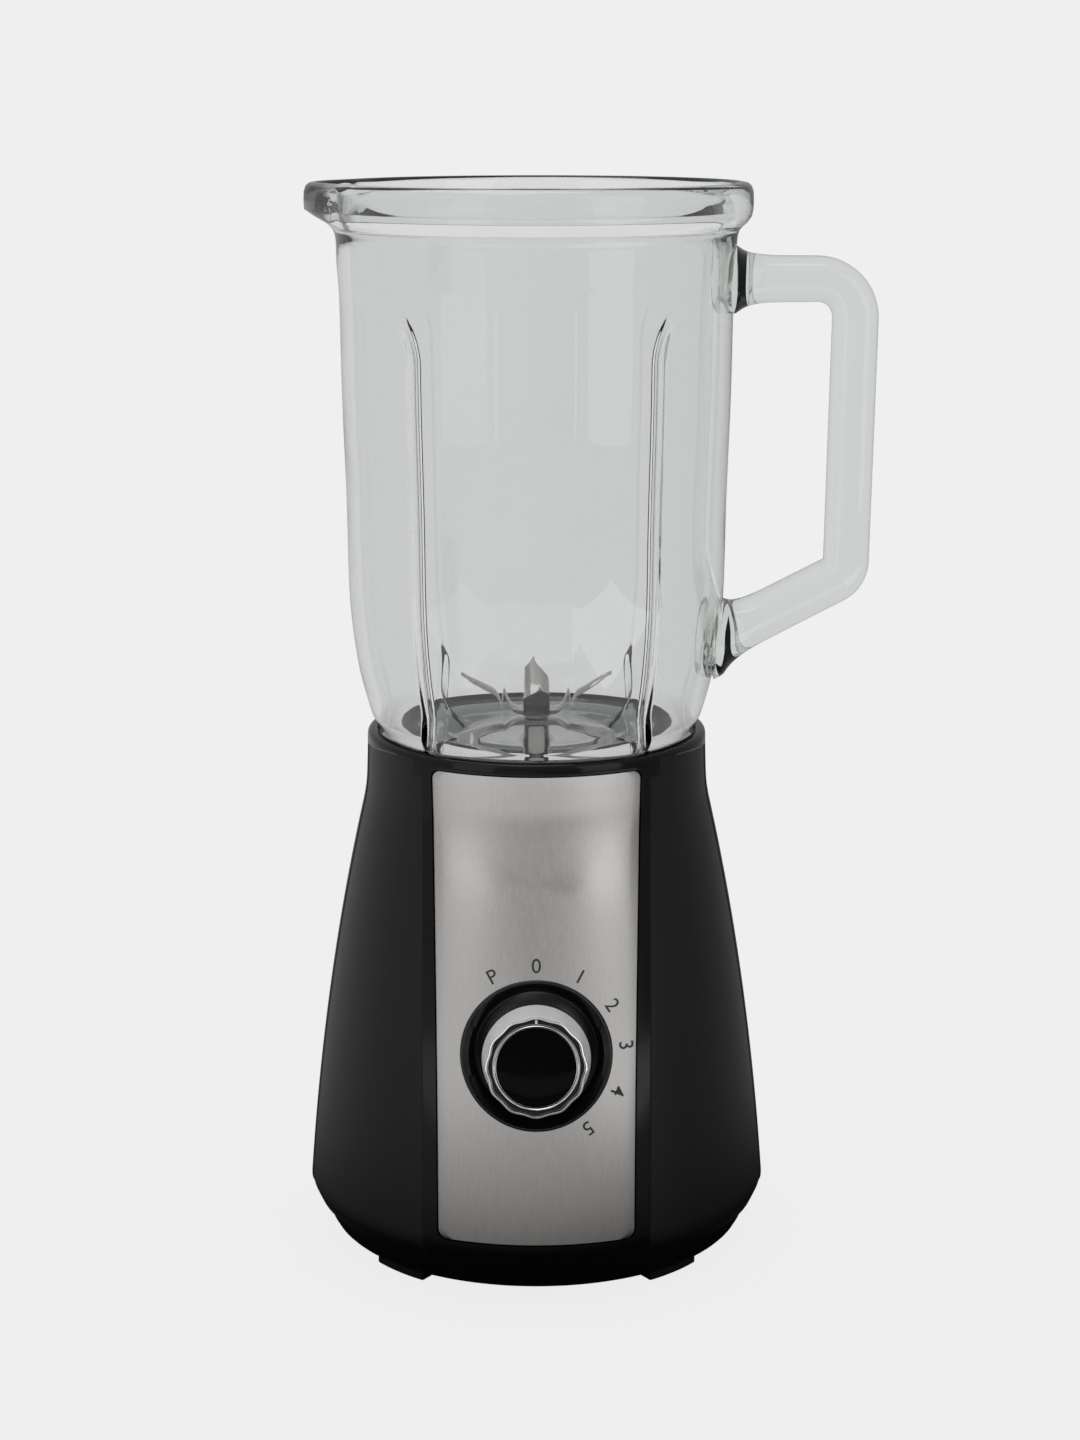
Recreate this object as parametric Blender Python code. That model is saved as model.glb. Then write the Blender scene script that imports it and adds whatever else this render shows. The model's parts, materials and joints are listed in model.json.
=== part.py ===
"""Countertop blender: a glass jug with a six-wing blade on a motor base with one rotary switch.

Everything is laid out round the drive axis, which is the Z axis of the empty base_frame, and the
feet stand on z = 0.  Metres, +Z up, the dial faces -Y and the jug's handle points to +X.
"""
import math

import bmesh
import bpy
from mathutils import Matrix, Vector

for old in list(bpy.data.objects):
    bpy.data.objects.remove(old, do_unlink=True)

# ---- Fits -------------------------------------------------------------------------------------
GAP = 0.0003            # between pieces that rest on or in each other
RUNNING = 0.00012       # radial clearance of a shaft in its bearing
AIR_GAP = 0.0006        # armature to pole shoe
JUG_CLEARANCE = 0.0008  # jug to its seat, so that it lifts out freely
EPS = 0.002             # how far a cutter reaches past the face that it cuts

# ---- Base -------------------------------------------------------------------------------------
BASE_RADIUS = 0.0805
CREASE_Z = 0.020        # level of the widest line of the housing
SKIRT_Z = 0.0140        # lower edge of the housing
SKIRT_INSET = 0.0025
NECK_Z = 0.161          # where the sloping body meets the upright collar
NECK_FLARE = 0.0007
COLLAR_RADIUS = 0.0585
COLLAR_TOP_Z = 0.1825
COLLAR_WALL = 0.0037
COLLAR_DEPTH = 0.0330   # collar top down to the deck
DECK_THICKNESS = 0.0035
DECK_BORE = 0.0105
HOUSING_WALL = 0.0030
SPINE_HALF_WIDTH = 0.0375
SPINE_RAISE = 0.0007
SPINE_STEP = 0.0008
COLLAR_LIP = ((0.0, 0.0026), (0.0008, 0.0012), (0.0025, 0.0003), (0.0060, 0.0))  # drop, inset

# ---- Front panel ------------------------------------------------------------------------------
PANEL_HALF_WIDTH = 0.0327
PANEL_TOP_FLARE = 0.0018
PANEL_BOTTOM_Z = 0.0235
PANEL_BELOW_COLLAR = 0.0048
PANEL_CORNER = 0.0030
PANEL_THICKNESS = 0.0008
PANEL_GROOVE = 0.0006   # gap round the panel

# ---- Dial and knob (heights along the dial axis, from the panel's face) -----------------------
DIAL_Z = 0.087
DIAL_LEAN = math.radians(8)
BEZEL_RADIUS = 0.0252
BEZEL_FLOOR_RADIUS = 0.0205
BEZEL_DEPTH = 0.0065
BEZEL_WALL = 0.0018
BEZEL_LIP = 0.0009
BEZEL_LIP_RISE = 0.0004
DIAL_HOLE_BACK = -0.018  # ends of the round hole through panel and housing
DIAL_HOLE_FRONT = 0.008
KNOB_RADIUS = 0.0172
KNOB_FACE_RADIUS = 0.0166
KNOB_REACH = 0.0190
KNOB_SKIRT = 0.0034
KNOB_WALL = 0.0011
KNOB_STEM_INSET = 0.0022
KNOB_STEM_WALL = 0.0016
KNOB_STEM_LIFT = 0.0010  # bezel floor up to the knob
KNOB_SCALLOPS = 12
SCALLOP_DEPTH = 0.0005
KNOB_FACE_WIDTH = 0.0027 # knob's edge to the thin bright ring
KNOB_RING_WIDTH = 0.0006
KNOB_FACE_DEPTH = 0.0022
POINTER_WIDTH = 0.0010
POINTER_HEIGHT = 0.0011
SPINDLE_RADIUS = 0.0030
SWITCH_SIDE = 0.0260
SWITCH_DEPTH = 0.0150
BUSHING_RADIUS = 0.0048
SWITCH_NUT_RADIUS = 0.0072
SWITCH_NUT_HEIGHT = 0.0020
SWITCH_NUT_ROOM = 0.0014

# ---- Bottom cover, feet, fasteners ------------------------------------------------------------
COVER_INSET = 0.0055     # inside the widest line of the housing
COVER_TAPER = 0.0025     # narrower at its underside
COVER_UNDERSIDE_Z = 0.0045
COVER_WALL = 0.0025
FOOT_INSET = 0.0040      # inside the edge of the cover's underside
FOOT_WIDTH = 0.0120
FOOT_AZIMUTH = math.radians(44)
FOOT_SPAN = math.radians(19)
VENT_COUNT = 8
VENT_RADIUS = 0.0300
VENT_LENGTH = 0.0200
VENT_WIDTH = 0.0030
BOSS_RADIUS = 0.0042
BOSS_INSET = 0.0070      # screws inside the edge of the cover's underside
SCREW_AZIMUTHS = [math.radians(a) for a in (70, 110, 250, 290)]
BOSS_HEIGHT = 0.0240
BOSS_RIB = 0.0024
SCREW_RADIUS = 0.0017
SCREW_HEAD_RADIUS = 0.0034
SCREW_HEAD_HEIGHT = 0.0022
SCREW_HEAD_CHAMFER = 0.0008
SCREW_SHORT = 0.0060     # screw tip below the top of its boss
CORD_INLET_Z = 0.030
CORD_INLET_RADIUS = 0.0070
CORD_BORE_RADIUS = 0.0036
CORD_BUSH_PROUD = 0.0004
CORD_BUSH_LENGTH = 0.0045  # behind the wall

# ---- Motor ------------------------------------------------------------------------------------
SHAFT_RADIUS = 0.0040
DAMPER_HEIGHT = 0.0220
DAMPER_RADIUS = 0.0060
DAMPER_X = 0.0180
DAMPER_Y = 0.0290
BRACKET_THICKNESS = 0.0030
BRACKET_HALF_X = 0.0250
BRACKET_HALF_Y = 0.0365
LEG_HALF_X = 0.0090
LEG_WIDTH = 0.0045
LOWER_STRIP_HALF_X = 0.0126
BEARING_RADIUS = 0.0080
BEARING_HEIGHT = 0.0080
POCKET_WALL = 0.0025
STATOR_RADIUS = 0.0380
STATOR_HEIGHT = 0.0280
YOKE_INNER = 0.0320
POLE_BORE = 0.0206
POLE_SHOE = 0.0230
POLE_NECK = 0.0090
POLE_SPAN = math.radians(50)
COIL_WIDTH = 0.0055
COIL_THICKNESS = 0.0036
COIL_OVERHANG = 0.0060
STATOR_TO_BRACKET = 0.0080
LOWER_SPACE = 0.0300     # stator down to the lower bracket: commutator and brushes
WINDING_RADIUS = 0.0165
WINDING_HEIGHT = 0.0055
ARMATURE_SLOTS = 12
ARMATURE_SLOT_DEPTH = 0.0016
COMMUTATOR_RADIUS = 0.0110
COMMUTATOR_HEIGHT = 0.0140
BRUSH_SIDE = 0.0060
BRUSH_LENGTH = 0.0120
HOLDER_WALL = 0.0010
HOLDER_START = 0.0135
FAN_RADIUS = 0.0310
FAN_HEIGHT = 0.0080
FAN_BLADES = 9
FAN_HUB = 0.0085
FAN_DROP = 0.0040        # lower bearing down to the fan

# ---- Drive coupling ---------------------------------------------------------------------------
SPLINE_TEETH = 6
SPLINE_ROOT = 0.0066
SPLINE_TIP = 0.0084
SPLINE_PLAY = 0.0005
DRIVE_LIFT = 0.0024      # deck up to the drive coupling
DRIVE_HEIGHT = 0.0095
SOCKET_ROOM = 0.0008     # drive coupling up to the socket's lid
SOCKET_RADIUS = 0.0128
SOCKET_TOP = 0.0025
WELL_RADIUS = 0.0200
SEAT_WALL = 0.0022
SEAT_RISE = 0.0062       # above the jug's underside

# ---- Jug --------------------------------------------------------------------------------------
JUG_BOTTOM_Z = 0.1720
JUG_IN_COLLAR = 0.0032   # radial room between the jug and the collar
JUG_HEIGHT = 0.1955
JUG_BODY_RADIUS = 0.0668
JUG_TAPER = 0.0029       # how much narrower the wall is at its foot than under the bead
JUG_WALL = 0.0043
JUG_FLOOR = 0.0065
# Rounded foot of the jug: how far inside its widest radius in the collar, and how high.
JUG_FOOT = ((0.0, 0.0090), (0.0036, 0.0054), (0.0071, 0.0015), (0.0106, 0.0))
# Shoulder above the collar, counted outwards in the same way.
JUG_SHOULDER = ((0.0099, 0.034), (0.0066, 0.020), (0.0044, 0.013))
BEAD_HEIGHT = 0.0140
BEAD_REACH = 0.0054
LEDGE_DEPTH = 0.0150
LEDGE_RADIUS = 0.0656
SPOUT_REACH = 0.0078     # past the rim bead
SPOUT_DEPTH = 0.0260
SPOUT_HALF_ANGLE = math.radians(26)
GROOVE_AZIMUTHS = [math.radians(a) for a in (42, 138, 222, 318)]
GROOVE_HALF_WIDTH = 0.0022
GROOVE_DEPTH = 0.0024
GROOVE_BELOW_RIM = 0.0410
GROOVE_HOOK = math.radians(4.4)   # the upright run lies nearer the front and rear than the ends
HOOK_REACH = math.radians(20)
LUG_HALF_WIDTH = 0.0012
LUG_RISE = 0.0030
HUB_BORE = 0.0054
FLANGE_RADIUS = 0.0063
HUB_NECK = 0.0042
HUB_RISE = 0.0060        # jug floor up to the lower blade
LOCK_NUT_RADIUS = 0.0110
LOCK_NUT_HEIGHT = 0.0042
GASKET = 0.0010

# ---- Handle -----------------------------------------------------------------------------------
HANDLE_REACH = 0.1150
HANDLE_THICKNESS = 0.0152
HANDLE_WIDTH = 0.0200
HANDLE_TOP = 0.0320      # rim down to the middle of the upper arm
HANDLE_DROP = 0.1000     # upper arm down to the lower outer corner
HANDLE_SLOPE = 0.52      # rise of the lower arm for each unit outwards
HANDLE_LEAN = 0.0015     # the lower corner stands in from the upper one
HANDLE_UPPER_BEND = 0.0130
HANDLE_LOWER_BEND = 0.0080
ROOT_FLARE = 0.75
ROOT_FADE = 0.0035
SQUARENESS = 0.7         # exponent of the rounded square section

# ---- Blade ------------------------------------------------------------------------------------
BLADE_SHAFT_RADIUS = 0.0025
BLADE_THICKNESS = 0.0012
BLADE_HALF_WIDTH = 0.0046
UPPER_REACH = 0.0260
UPPER_RISE = 0.0130
LOWER_REACH = 0.0270
LOWER_DROP = 0.0030
SPACER_RADIUS = 0.0040
CAP_NUT_RADIUS = 0.0042
CAP_NUT_HEIGHT = 0.0040

# ---- Levels and radii worked out from the sizes above -----------------------------------------
COVER_RADIUS = BASE_RADIUS - COVER_INSET
COVER_FOOT_RADIUS = COVER_RADIUS - COVER_TAPER
FOOT_OUTER_RADIUS = COVER_FOOT_RADIUS - FOOT_INSET
BOSS_CIRCLE = COVER_FOOT_RADIUS - BOSS_INSET
KNOB_RING_RADIUS = KNOB_FACE_RADIUS - KNOB_FACE_WIDTH
DECK_Z = COLLAR_TOP_Z - COLLAR_DEPTH
COLLAR_BORE = COLLAR_RADIUS - COLLAR_WALL
SEAT_RADIUS = COLLAR_BORE - 2 * GAP
JUG_ENTRY = COLLAR_BORE - JUG_IN_COLLAR
JUG_TOP_Z = JUG_BOTTOM_Z + JUG_HEIGHT
JUG_FLOOR_Z = JUG_BOTTOM_Z + JUG_FLOOR
BEAD_RADIUS = JUG_BODY_RADIUS + BEAD_REACH
UPPER_BRACKET_Z = DECK_Z - DECK_THICKNESS - GAP - DAMPER_HEIGHT - GAP
STATOR_TOP_Z = UPPER_BRACKET_Z - BRACKET_THICKNESS - STATOR_TO_BRACKET
STATOR_BOTTOM_Z = STATOR_TOP_Z - STATOR_HEIGHT
LOWER_BRACKET_Z = STATOR_BOTTOM_Z - LOWER_SPACE
LOWER_BEARING_Z = LOWER_BRACKET_Z - BRACKET_THICKNESS
FAN_TOP_Z = LOWER_BEARING_Z - FAN_DROP
FAN_BOTTOM_Z = FAN_TOP_Z - FAN_HEIGHT
DRIVE_BOTTOM_Z = DECK_Z + DRIVE_LIFT
DRIVE_TOP_Z = DRIVE_BOTTOM_Z + DRIVE_HEIGHT
SOCKET_FLOOR_Z = DRIVE_TOP_Z + SOCKET_ROOM
SOCKET_TOP_Z = SOCKET_FLOOR_Z + SOCKET_TOP
LOCK_NUT_TOP_Z = JUG_BOTTOM_Z - GAP - GASKET - GAP
LOCK_NUT_BOTTOM_Z = LOCK_NUT_TOP_Z - LOCK_NUT_HEIGHT
LOWER_BLADE_Z = JUG_FLOOR_Z + HUB_RISE
UPPER_BLADE_Z = LOWER_BLADE_Z + 2 * BLADE_THICKNESS + 2 * GAP
CAP_NUT_Z = UPPER_BLADE_Z + BLADE_THICKNESS + GAP
COVER_TOP_Z = SKIRT_Z - GAP
PANEL_TOP_Z = COLLAR_TOP_Z - PANEL_BELOW_COLLAR


def material(name, colour, roughness, metallic=0.0, transmission=0.0):
    """Plain finish of one kind of material."""
    finish = bpy.data.materials.new(name)
    finish.use_nodes = True
    shader = finish.node_tree.nodes["Principled BSDF"]
    shader.inputs["Base Color"].default_value = (*colour, 1)
    shader.inputs["Roughness"].default_value = roughness
    shader.inputs["Metallic"].default_value = metallic
    shader.inputs["Transmission Weight"].default_value = transmission
    finish.diffuse_color = (*colour, 1)
    return finish


BLACK_PLASTIC = material("black_plastic", (0.020, 0.020, 0.021), 0.38)
GLOSS_BLACK = material("gloss_black", (0.004, 0.004, 0.004), 0.08)
BROWN_PHENOLIC = material("brown_phenolic", (0.06, 0.035, 0.02), 0.5)
RUBBER = material("rubber", (0.012, 0.012, 0.012), 0.75)
GLASS = material("clear_glass", (0.86, 0.90, 0.87), 0.03, transmission=1.0)
BRUSHED_STEEL = material("brushed_steel", (0.55, 0.54, 0.52), 0.34, 1.0)
CHROME = material("chrome", (0.78, 0.78, 0.79), 0.06, 1.0)
BLADE_STEEL = material("blade_steel", (0.58, 0.58, 0.57), 0.22, 1.0)
SHAFT_STEEL = material("shaft_steel", (0.45, 0.45, 0.46), 0.30, 1.0)
SCREW_ZINC = material("zinc_plate", (0.60, 0.60, 0.58), 0.35, 1.0)
LAMINATION = material("lamination_steel", (0.20, 0.20, 0.22), 0.55, 0.9)
ALUMINIUM = material("aluminium", (0.66, 0.67, 0.68), 0.42, 1.0)
COPPER = material("copper", (0.72, 0.32, 0.16), 0.35, 1.0)
WINDING = material("winding_enamel", (0.42, 0.14, 0.05), 0.40, 0.3)
BRASS = material("brass", (0.72, 0.53, 0.22), 0.35, 1.0)
CARBON = material("carbon", (0.03, 0.03, 0.03), 0.65)
SILICONE = material("silicone", (0.70, 0.70, 0.68), 0.60)


# ---- Frames -----------------------------------------------------------------------------------
def body_radius(z):
    """Outside radius of the housing at a level: a bent cone up to the neck, then the collar."""
    if z >= NECK_Z:
        fade = (COLLAR_TOP_Z - z) / (COLLAR_TOP_Z - NECK_Z)
        return COLLAR_RADIUS + NECK_FLARE * fade * fade
    neck = COLLAR_RADIUS + NECK_FLARE
    bend_z = CREASE_Z + 0.53 * (NECK_Z - CREASE_Z)
    bend = neck + 0.735 * (BASE_RADIUS - neck)
    curve = NECK_Z - 2 * bend_z + CREASE_Z
    slope = 2 * (NECK_Z - bend_z)
    drop = NECK_Z - z
    t = 2 * drop / (slope + math.sqrt(slope * slope - 4 * curve * drop))
    return (1 - t) ** 2 * neck + 2 * t * (1 - t) * bend + t * t * BASE_RADIUS


def spine_y(x, z, offset=0.0):
    """Where the front face of the spine lies at a width and a level."""
    radius = body_radius(z) + SPINE_RAISE + offset
    return -math.sqrt(radius * radius - x * x)


DIAL_FRONT = -spine_y(0, DIAL_Z)
FRONT_REACH = DIAL_FRONT + KNOB_REACH * math.cos(DIAL_LEAN) + KNOB_FACE_RADIUS * math.sin(DIAL_LEAN)
AXIS_X = (BASE_RADIUS - HANDLE_REACH) / 2
AXIS_Y = (FRONT_REACH - BASE_RADIUS) / 2


def empty(name, place, parent=None):
    """Axis that pieces hang from."""
    axis = bpy.data.objects.new(name, None)
    axis.empty_display_size = 0.02
    bpy.context.scene.collection.objects.link(axis)
    axis.parent = parent
    axis.matrix_local = place
    return axis


BASE_FRAME = empty("base_frame", Matrix.Translation((AXIS_X, AXIS_Y, 0)))
ROTOR_AXIS = empty("rotor_axis", Matrix.Identity(4), BASE_FRAME)
JUG_AXIS = empty("jug_axis", Matrix.Identity(4), BASE_FRAME)
BLADE_AXIS = empty("blade_axis", Matrix.Identity(4), JUG_AXIS)
DIAL_PLACE = Matrix.Translation((0, -DIAL_FRONT, DIAL_Z)) @ Matrix.Rotation(
    math.radians(90) - DIAL_LEAN, 4, "X")
KNOB_AXIS = empty("knob_axis", DIAL_PLACE, BASE_FRAME)


# ---- Mesh making ------------------------------------------------------------------------------
def finished(body, name):
    """Mesh of a bmesh body, welded, facing out and smooth between its hard edges."""
    bmesh.ops.remove_doubles(body, verts=body.verts, dist=1e-7)
    bmesh.ops.recalc_face_normals(body, faces=body.faces)
    if body.calc_volume(signed=True) < 0:
        bmesh.ops.reverse_faces(body, faces=body.faces)
    mesh = bpy.data.meshes.new(name)
    body.to_mesh(mesh)
    body.free()
    mesh.shade_smooth()
    mesh.set_sharp_from_angle(angle=math.radians(32))
    return mesh


def turned(outline, sides=20):
    """Body of revolution about Z from (radius, height) points: a loop, or a run from axis to axis."""
    body = bmesh.new()
    points = [body.verts.new((radius, 0, height)) for radius, height in outline]
    edges = [body.edges.new(pair) for pair in zip(points, points[1:])]
    if outline[0][0] > 0:
        edges.append(body.edges.new((points[-1], points[0])))
    bmesh.ops.spin(body, geom=points + edges, cent=(0, 0, 0), axis=(0, 0, 1),
                   angle=math.tau, steps=sides, use_merge=True, use_duplicate=False)
    return finished(body, "turned")


def tube(inner, outer, low, high, sides=20):
    """Plain ring."""
    return turned([(outer, high), (outer, low), (inner, low), (inner, high)], sides)


def rod(radius, low, high, sides=16):
    """Plain cylinder."""
    return turned([(0, high), (radius, high), (radius, low), (0, low)], sides)


def prism(loops, low, high):
    """Flat outline raised along Z: the first loop is the outside and the others are holes."""
    curve = bpy.data.curves.new("outline", "CURVE")
    curve.dimensions = "2D"
    curve.fill_mode = "BOTH"
    curve.extrude = (high - low) / 2
    for loop in loops:
        spline = curve.splines.new("POLY")
        spline.points.add(len(loop) - 1)
        for point, (x, y) in zip(spline.points, loop):
            point.co = (x, y, 0, 1)
        spline.use_cyclic_u = True
    holder = bpy.data.objects.new("outline", curve)
    flat = bpy.data.meshes.new_from_object(holder)
    body = bmesh.new()
    body.from_mesh(flat)
    bmesh.ops.translate(body, verts=body.verts, vec=(0, 0, (low + high) / 2))
    bmesh.ops.remove_doubles(body, verts=body.verts, dist=1e-6)
    bpy.data.objects.remove(holder)
    bpy.data.curves.remove(curve)
    bpy.data.meshes.remove(flat)
    return finished(body, "prism")


def block(low, high):
    """Box between two corners."""
    body = bmesh.new()
    bmesh.ops.create_cube(body, size=1)
    low, high = Vector(low), Vector(high)
    bmesh.ops.scale(body, vec=high - low, verts=body.verts)
    bmesh.ops.translate(body, vec=(low + high) / 2, verts=body.verts)
    return finished(body, "block")


def lofted(rings, closed):
    """Body through rings of points: closed joins the last ring to the first, else both get caps."""
    body = bmesh.new()
    loops = [[body.verts.new(point) for point in ring] for ring in rings]
    pairs = list(zip(loops, loops[1:]))
    if closed:
        pairs.append((loops[-1], loops[0]))
    else:
        body.faces.new(loops[0])
        body.faces.new(loops[-1])
    for near, far in pairs:
        for i in range(len(near)):
            j = (i + 1) % len(near)
            body.faces.new((near[i], near[j], far[j], far[i]))
    return finished(body, "loft")


def circle(radius, sides=20, centre=(0, 0)):
    """Points round a circle."""
    return [(centre[0] + radius * math.cos(math.tau * i / sides),
             centre[1] + radius * math.sin(math.tau * i / sides)) for i in range(sides)]


def part(name, mesh, finish, parent=BASE_FRAME, place=Matrix.Identity(4)):
    """Named piece of the blender."""
    piece = bpy.data.objects.new(name, mesh)
    mesh.name = name
    mesh.materials.clear()
    mesh.materials.append(finish)
    bpy.context.scene.collection.objects.link(piece)
    piece.parent = parent
    piece.matrix_local = place
    return piece


def shape_with(target, operation, mesh, parent=BASE_FRAME, place=Matrix.Identity(4)):
    """Cut a shape from a piece, or fuse one to it, with a Boolean that stays on the piece."""
    guide = bpy.data.objects.new(target.name + "_guide", mesh)
    bpy.context.scene.collection.objects.link(guide)
    guide.parent = parent
    guide.matrix_local = place
    guide.hide_render = True
    guide.display_type = "WIRE"
    step = target.modifiers.new(operation.lower(), "BOOLEAN")
    step.object = guide
    step.operation = operation
    step.solver = "EXACT"


def around(angle, radius=0.0, height=0.0):
    """Place turned about the drive axis; angle 0 is the front, counted towards the handle side."""
    return Matrix.Rotation(angle, 4, "Z") @ Matrix.Translation((0, -radius, height))


# ---- Base housing -----------------------------------------------------------------------------
def housing_columns(guide_radius):
    """Azimuths of the housing's columns and whether each lies on the raised spine."""
    spine = [(math.asin(x * SPINE_HALF_WIDTH / guide_radius), True)
             for x in (-1, -0.66, -0.33, 0, 0.33, 0.66, 1)]
    edge = math.asin((SPINE_HALF_WIDTH + SPINE_STEP) / guide_radius)
    side = [edge + (math.pi / 2 - edge) * i / 5 for i in range(6)]
    side += [math.pi / 2 + math.pi / 2 * i / 8 for i in range(1, 8)]
    right = [(angle, False) for angle in side]
    left = [(math.tau - angle, False) for angle in reversed(side)]
    return spine + right + [(math.pi, False)] + left


def housing_ring(radius, z, guide_radius, spine=0.0):
    """One level ring of the housing."""
    ring = []
    for angle, raised in housing_columns(guide_radius):
        reach = radius + (spine if raised else 0)
        ring.append((reach * math.sin(angle), -reach * math.cos(angle), z))
    return ring


def base_housing():
    """Moulded housing: body, collar and the deck that the motor hangs from."""
    steps = 5
    rings = []
    for drop, inset in COLLAR_LIP:
        radius = COLLAR_RADIUS - inset
        rings.append(housing_ring(radius, COLLAR_TOP_Z - drop, COLLAR_RADIUS, SPINE_RAISE))
    for i in range(steps + 1):
        z = NECK_Z + (CREASE_Z - NECK_Z) * i / steps
        rings.append(housing_ring(body_radius(z), z, body_radius(z), SPINE_RAISE))
    rings.append(housing_ring(BASE_RADIUS - SKIRT_INSET, SKIRT_Z, BASE_RADIUS, SPINE_RAISE))
    rings.append(housing_ring(BASE_RADIUS - SKIRT_INSET - HOUSING_WALL, SKIRT_Z, BASE_RADIUS))
    for i in range(steps - 1, -1, -1):
        z = NECK_Z + (CREASE_Z - NECK_Z) * i / steps
        z = min(z, DECK_Z - DECK_THICKNESS)
        rings.append(housing_ring(body_radius(z) - HOUSING_WALL, z, body_radius(z)))
    for radius, z in ((DECK_BORE, DECK_Z - DECK_THICKNESS), (DECK_BORE, DECK_Z),
                      (COLLAR_BORE, DECK_Z), (COLLAR_BORE, COLLAR_TOP_Z)):
        rings.append(housing_ring(radius, z, COLLAR_RADIUS))
    housing = part("base_housing", lofted(rings, closed=True), BLACK_PLASTIC)
    for azimuth in SCREW_AZIMUTHS:
        boss = tube(SCREW_RADIUS, BOSS_RADIUS, COVER_TOP_Z + COVER_WALL, SKIRT_Z + BOSS_HEIGHT, 10)
        rib = block((-BOSS_RIB / 2, -BASE_RADIUS + BOSS_CIRCLE + HOUSING_WALL, CREASE_Z),
                    (BOSS_RIB / 2, -BOSS_RADIUS + EPS / 2, SKIRT_Z + BOSS_HEIGHT - EPS))
        shape_with(housing, "UNION", boss, place=around(azimuth, BOSS_CIRCLE))
        shape_with(housing, "UNION", rib, place=around(azimuth, BOSS_CIRCLE))
    shape_with(housing, "DIFFERENCE", panel_mesh(PANEL_GROOVE, EPS, -PANEL_THICKNESS - 2 * GAP))
    hole = rod(BEZEL_RADIUS + GAP, DIAL_HOLE_BACK, DIAL_HOLE_FRONT, 30)
    shape_with(housing, "DIFFERENCE", hole, place=DIAL_PLACE)
    inlet = Matrix.Translation((0, 0, CORD_INLET_Z)) @ Matrix.Rotation(math.pi / 2, 4, "X")
    hole = rod(CORD_INLET_RADIUS + GAP, -BASE_RADIUS - EPS, -BASE_RADIUS + 0.012)
    shape_with(housing, "DIFFERENCE", hole, place=inlet)
    for x, y in damper_places():
        hole = rod(SCREW_RADIUS + RUNNING, DECK_Z - DECK_THICKNESS - EPS, DECK_Z + EPS, 10)
        shape_with(housing, "DIFFERENCE", hole, place=Matrix.Translation((x, y, 0)))
    return housing


def panel_half_width(z, grow):
    """Half width of the front panel at a level; it widens a little upwards and has round corners."""
    low, high = PANEL_BOTTOM_Z - grow, PANEL_TOP_Z + grow
    share = (z - PANEL_BOTTOM_Z) / (PANEL_TOP_Z - PANEL_BOTTOM_Z)
    width = PANEL_HALF_WIDTH + PANEL_TOP_FLARE * share * share + grow
    edge = min(z - low, high - z, PANEL_CORNER)
    return width - PANEL_CORNER + math.sqrt(PANEL_CORNER ** 2 - (PANEL_CORNER - edge) ** 2)


def panel_mesh(grow, front, back):
    """Curved sheet that follows the spine, between two depths from its face."""
    low, high = PANEL_BOTTOM_Z - grow, PANEL_TOP_Z + grow
    corner = [PANEL_CORNER * (1 - math.cos(math.radians(a))) for a in (10, 45, 90)]
    levels = [low + c for c in corner]
    levels += [levels[-1] + (high - low - 2 * PANEL_CORNER) * i / 7 for i in range(1, 7)]
    levels += [high - c for c in reversed(corner)]
    rings = []
    for z in levels:
        width = panel_half_width(z, grow)
        row = [width * (i / 3 - 1) for i in range(7)]
        ring = [(x, spine_y(x, z, front), z) for x in row]
        ring += [(x, spine_y(x, z, back), z) for x in reversed(row)]
        rings.append(ring)
    return lofted(rings, closed=False)


def front_panel():
    """Brushed steel sheet set into the spine, with a round hole for the dial bezel."""
    panel = part("front_panel", panel_mesh(0, -GAP, -GAP - PANEL_THICKNESS), BRUSHED_STEEL)
    hole = rod(BEZEL_RADIUS + GAP, DIAL_HOLE_BACK, DIAL_HOLE_FRONT, 30)
    shape_with(panel, "DIFFERENCE", hole, place=DIAL_PLACE)


def dial_surface(x, y):
    """Height along the dial axis at which the spine's face lies, at a point of the dial plane."""
    height = 0.0
    for _ in range(6):
        point = DIAL_PLACE @ Vector((x, y, height))
        height += (point.y - spine_y(point.x, point.z)) * math.cos(DIAL_LEAN)
    return height


def dial_bezel():
    """Dished black ring: its lip follows the panel and its floor carries the switch."""
    sides = 36
    rim = [math.tau * i / sides for i in range(sides)]

    def ring(radius, height, follow=0.0):
        points = []
        for angle in rim:
            x, y = radius * math.cos(angle), radius * math.sin(angle)
            points.append((x, y, height + follow * dial_surface(x, y)))
        return points

    rings = [
        ring(BEZEL_RADIUS, 0.0, 1.0),
        ring(BEZEL_RADIUS - BEZEL_LIP, BEZEL_LIP_RISE, 1.0),
        ring(BEZEL_FLOOR_RADIUS, -BEZEL_DEPTH),
        ring(BUSHING_RADIUS + GAP, -BEZEL_DEPTH),
        ring(BUSHING_RADIUS + GAP, -BEZEL_DEPTH - BEZEL_WALL),
        ring(BEZEL_FLOOR_RADIUS + BEZEL_WALL * 0.7, -BEZEL_DEPTH - BEZEL_WALL),
        ring(BEZEL_RADIUS, -BEZEL_DEPTH),
    ]
    part("dial_bezel", lofted(rings, closed=True), GLOSS_BLACK, KNOB_AXIS)


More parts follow.
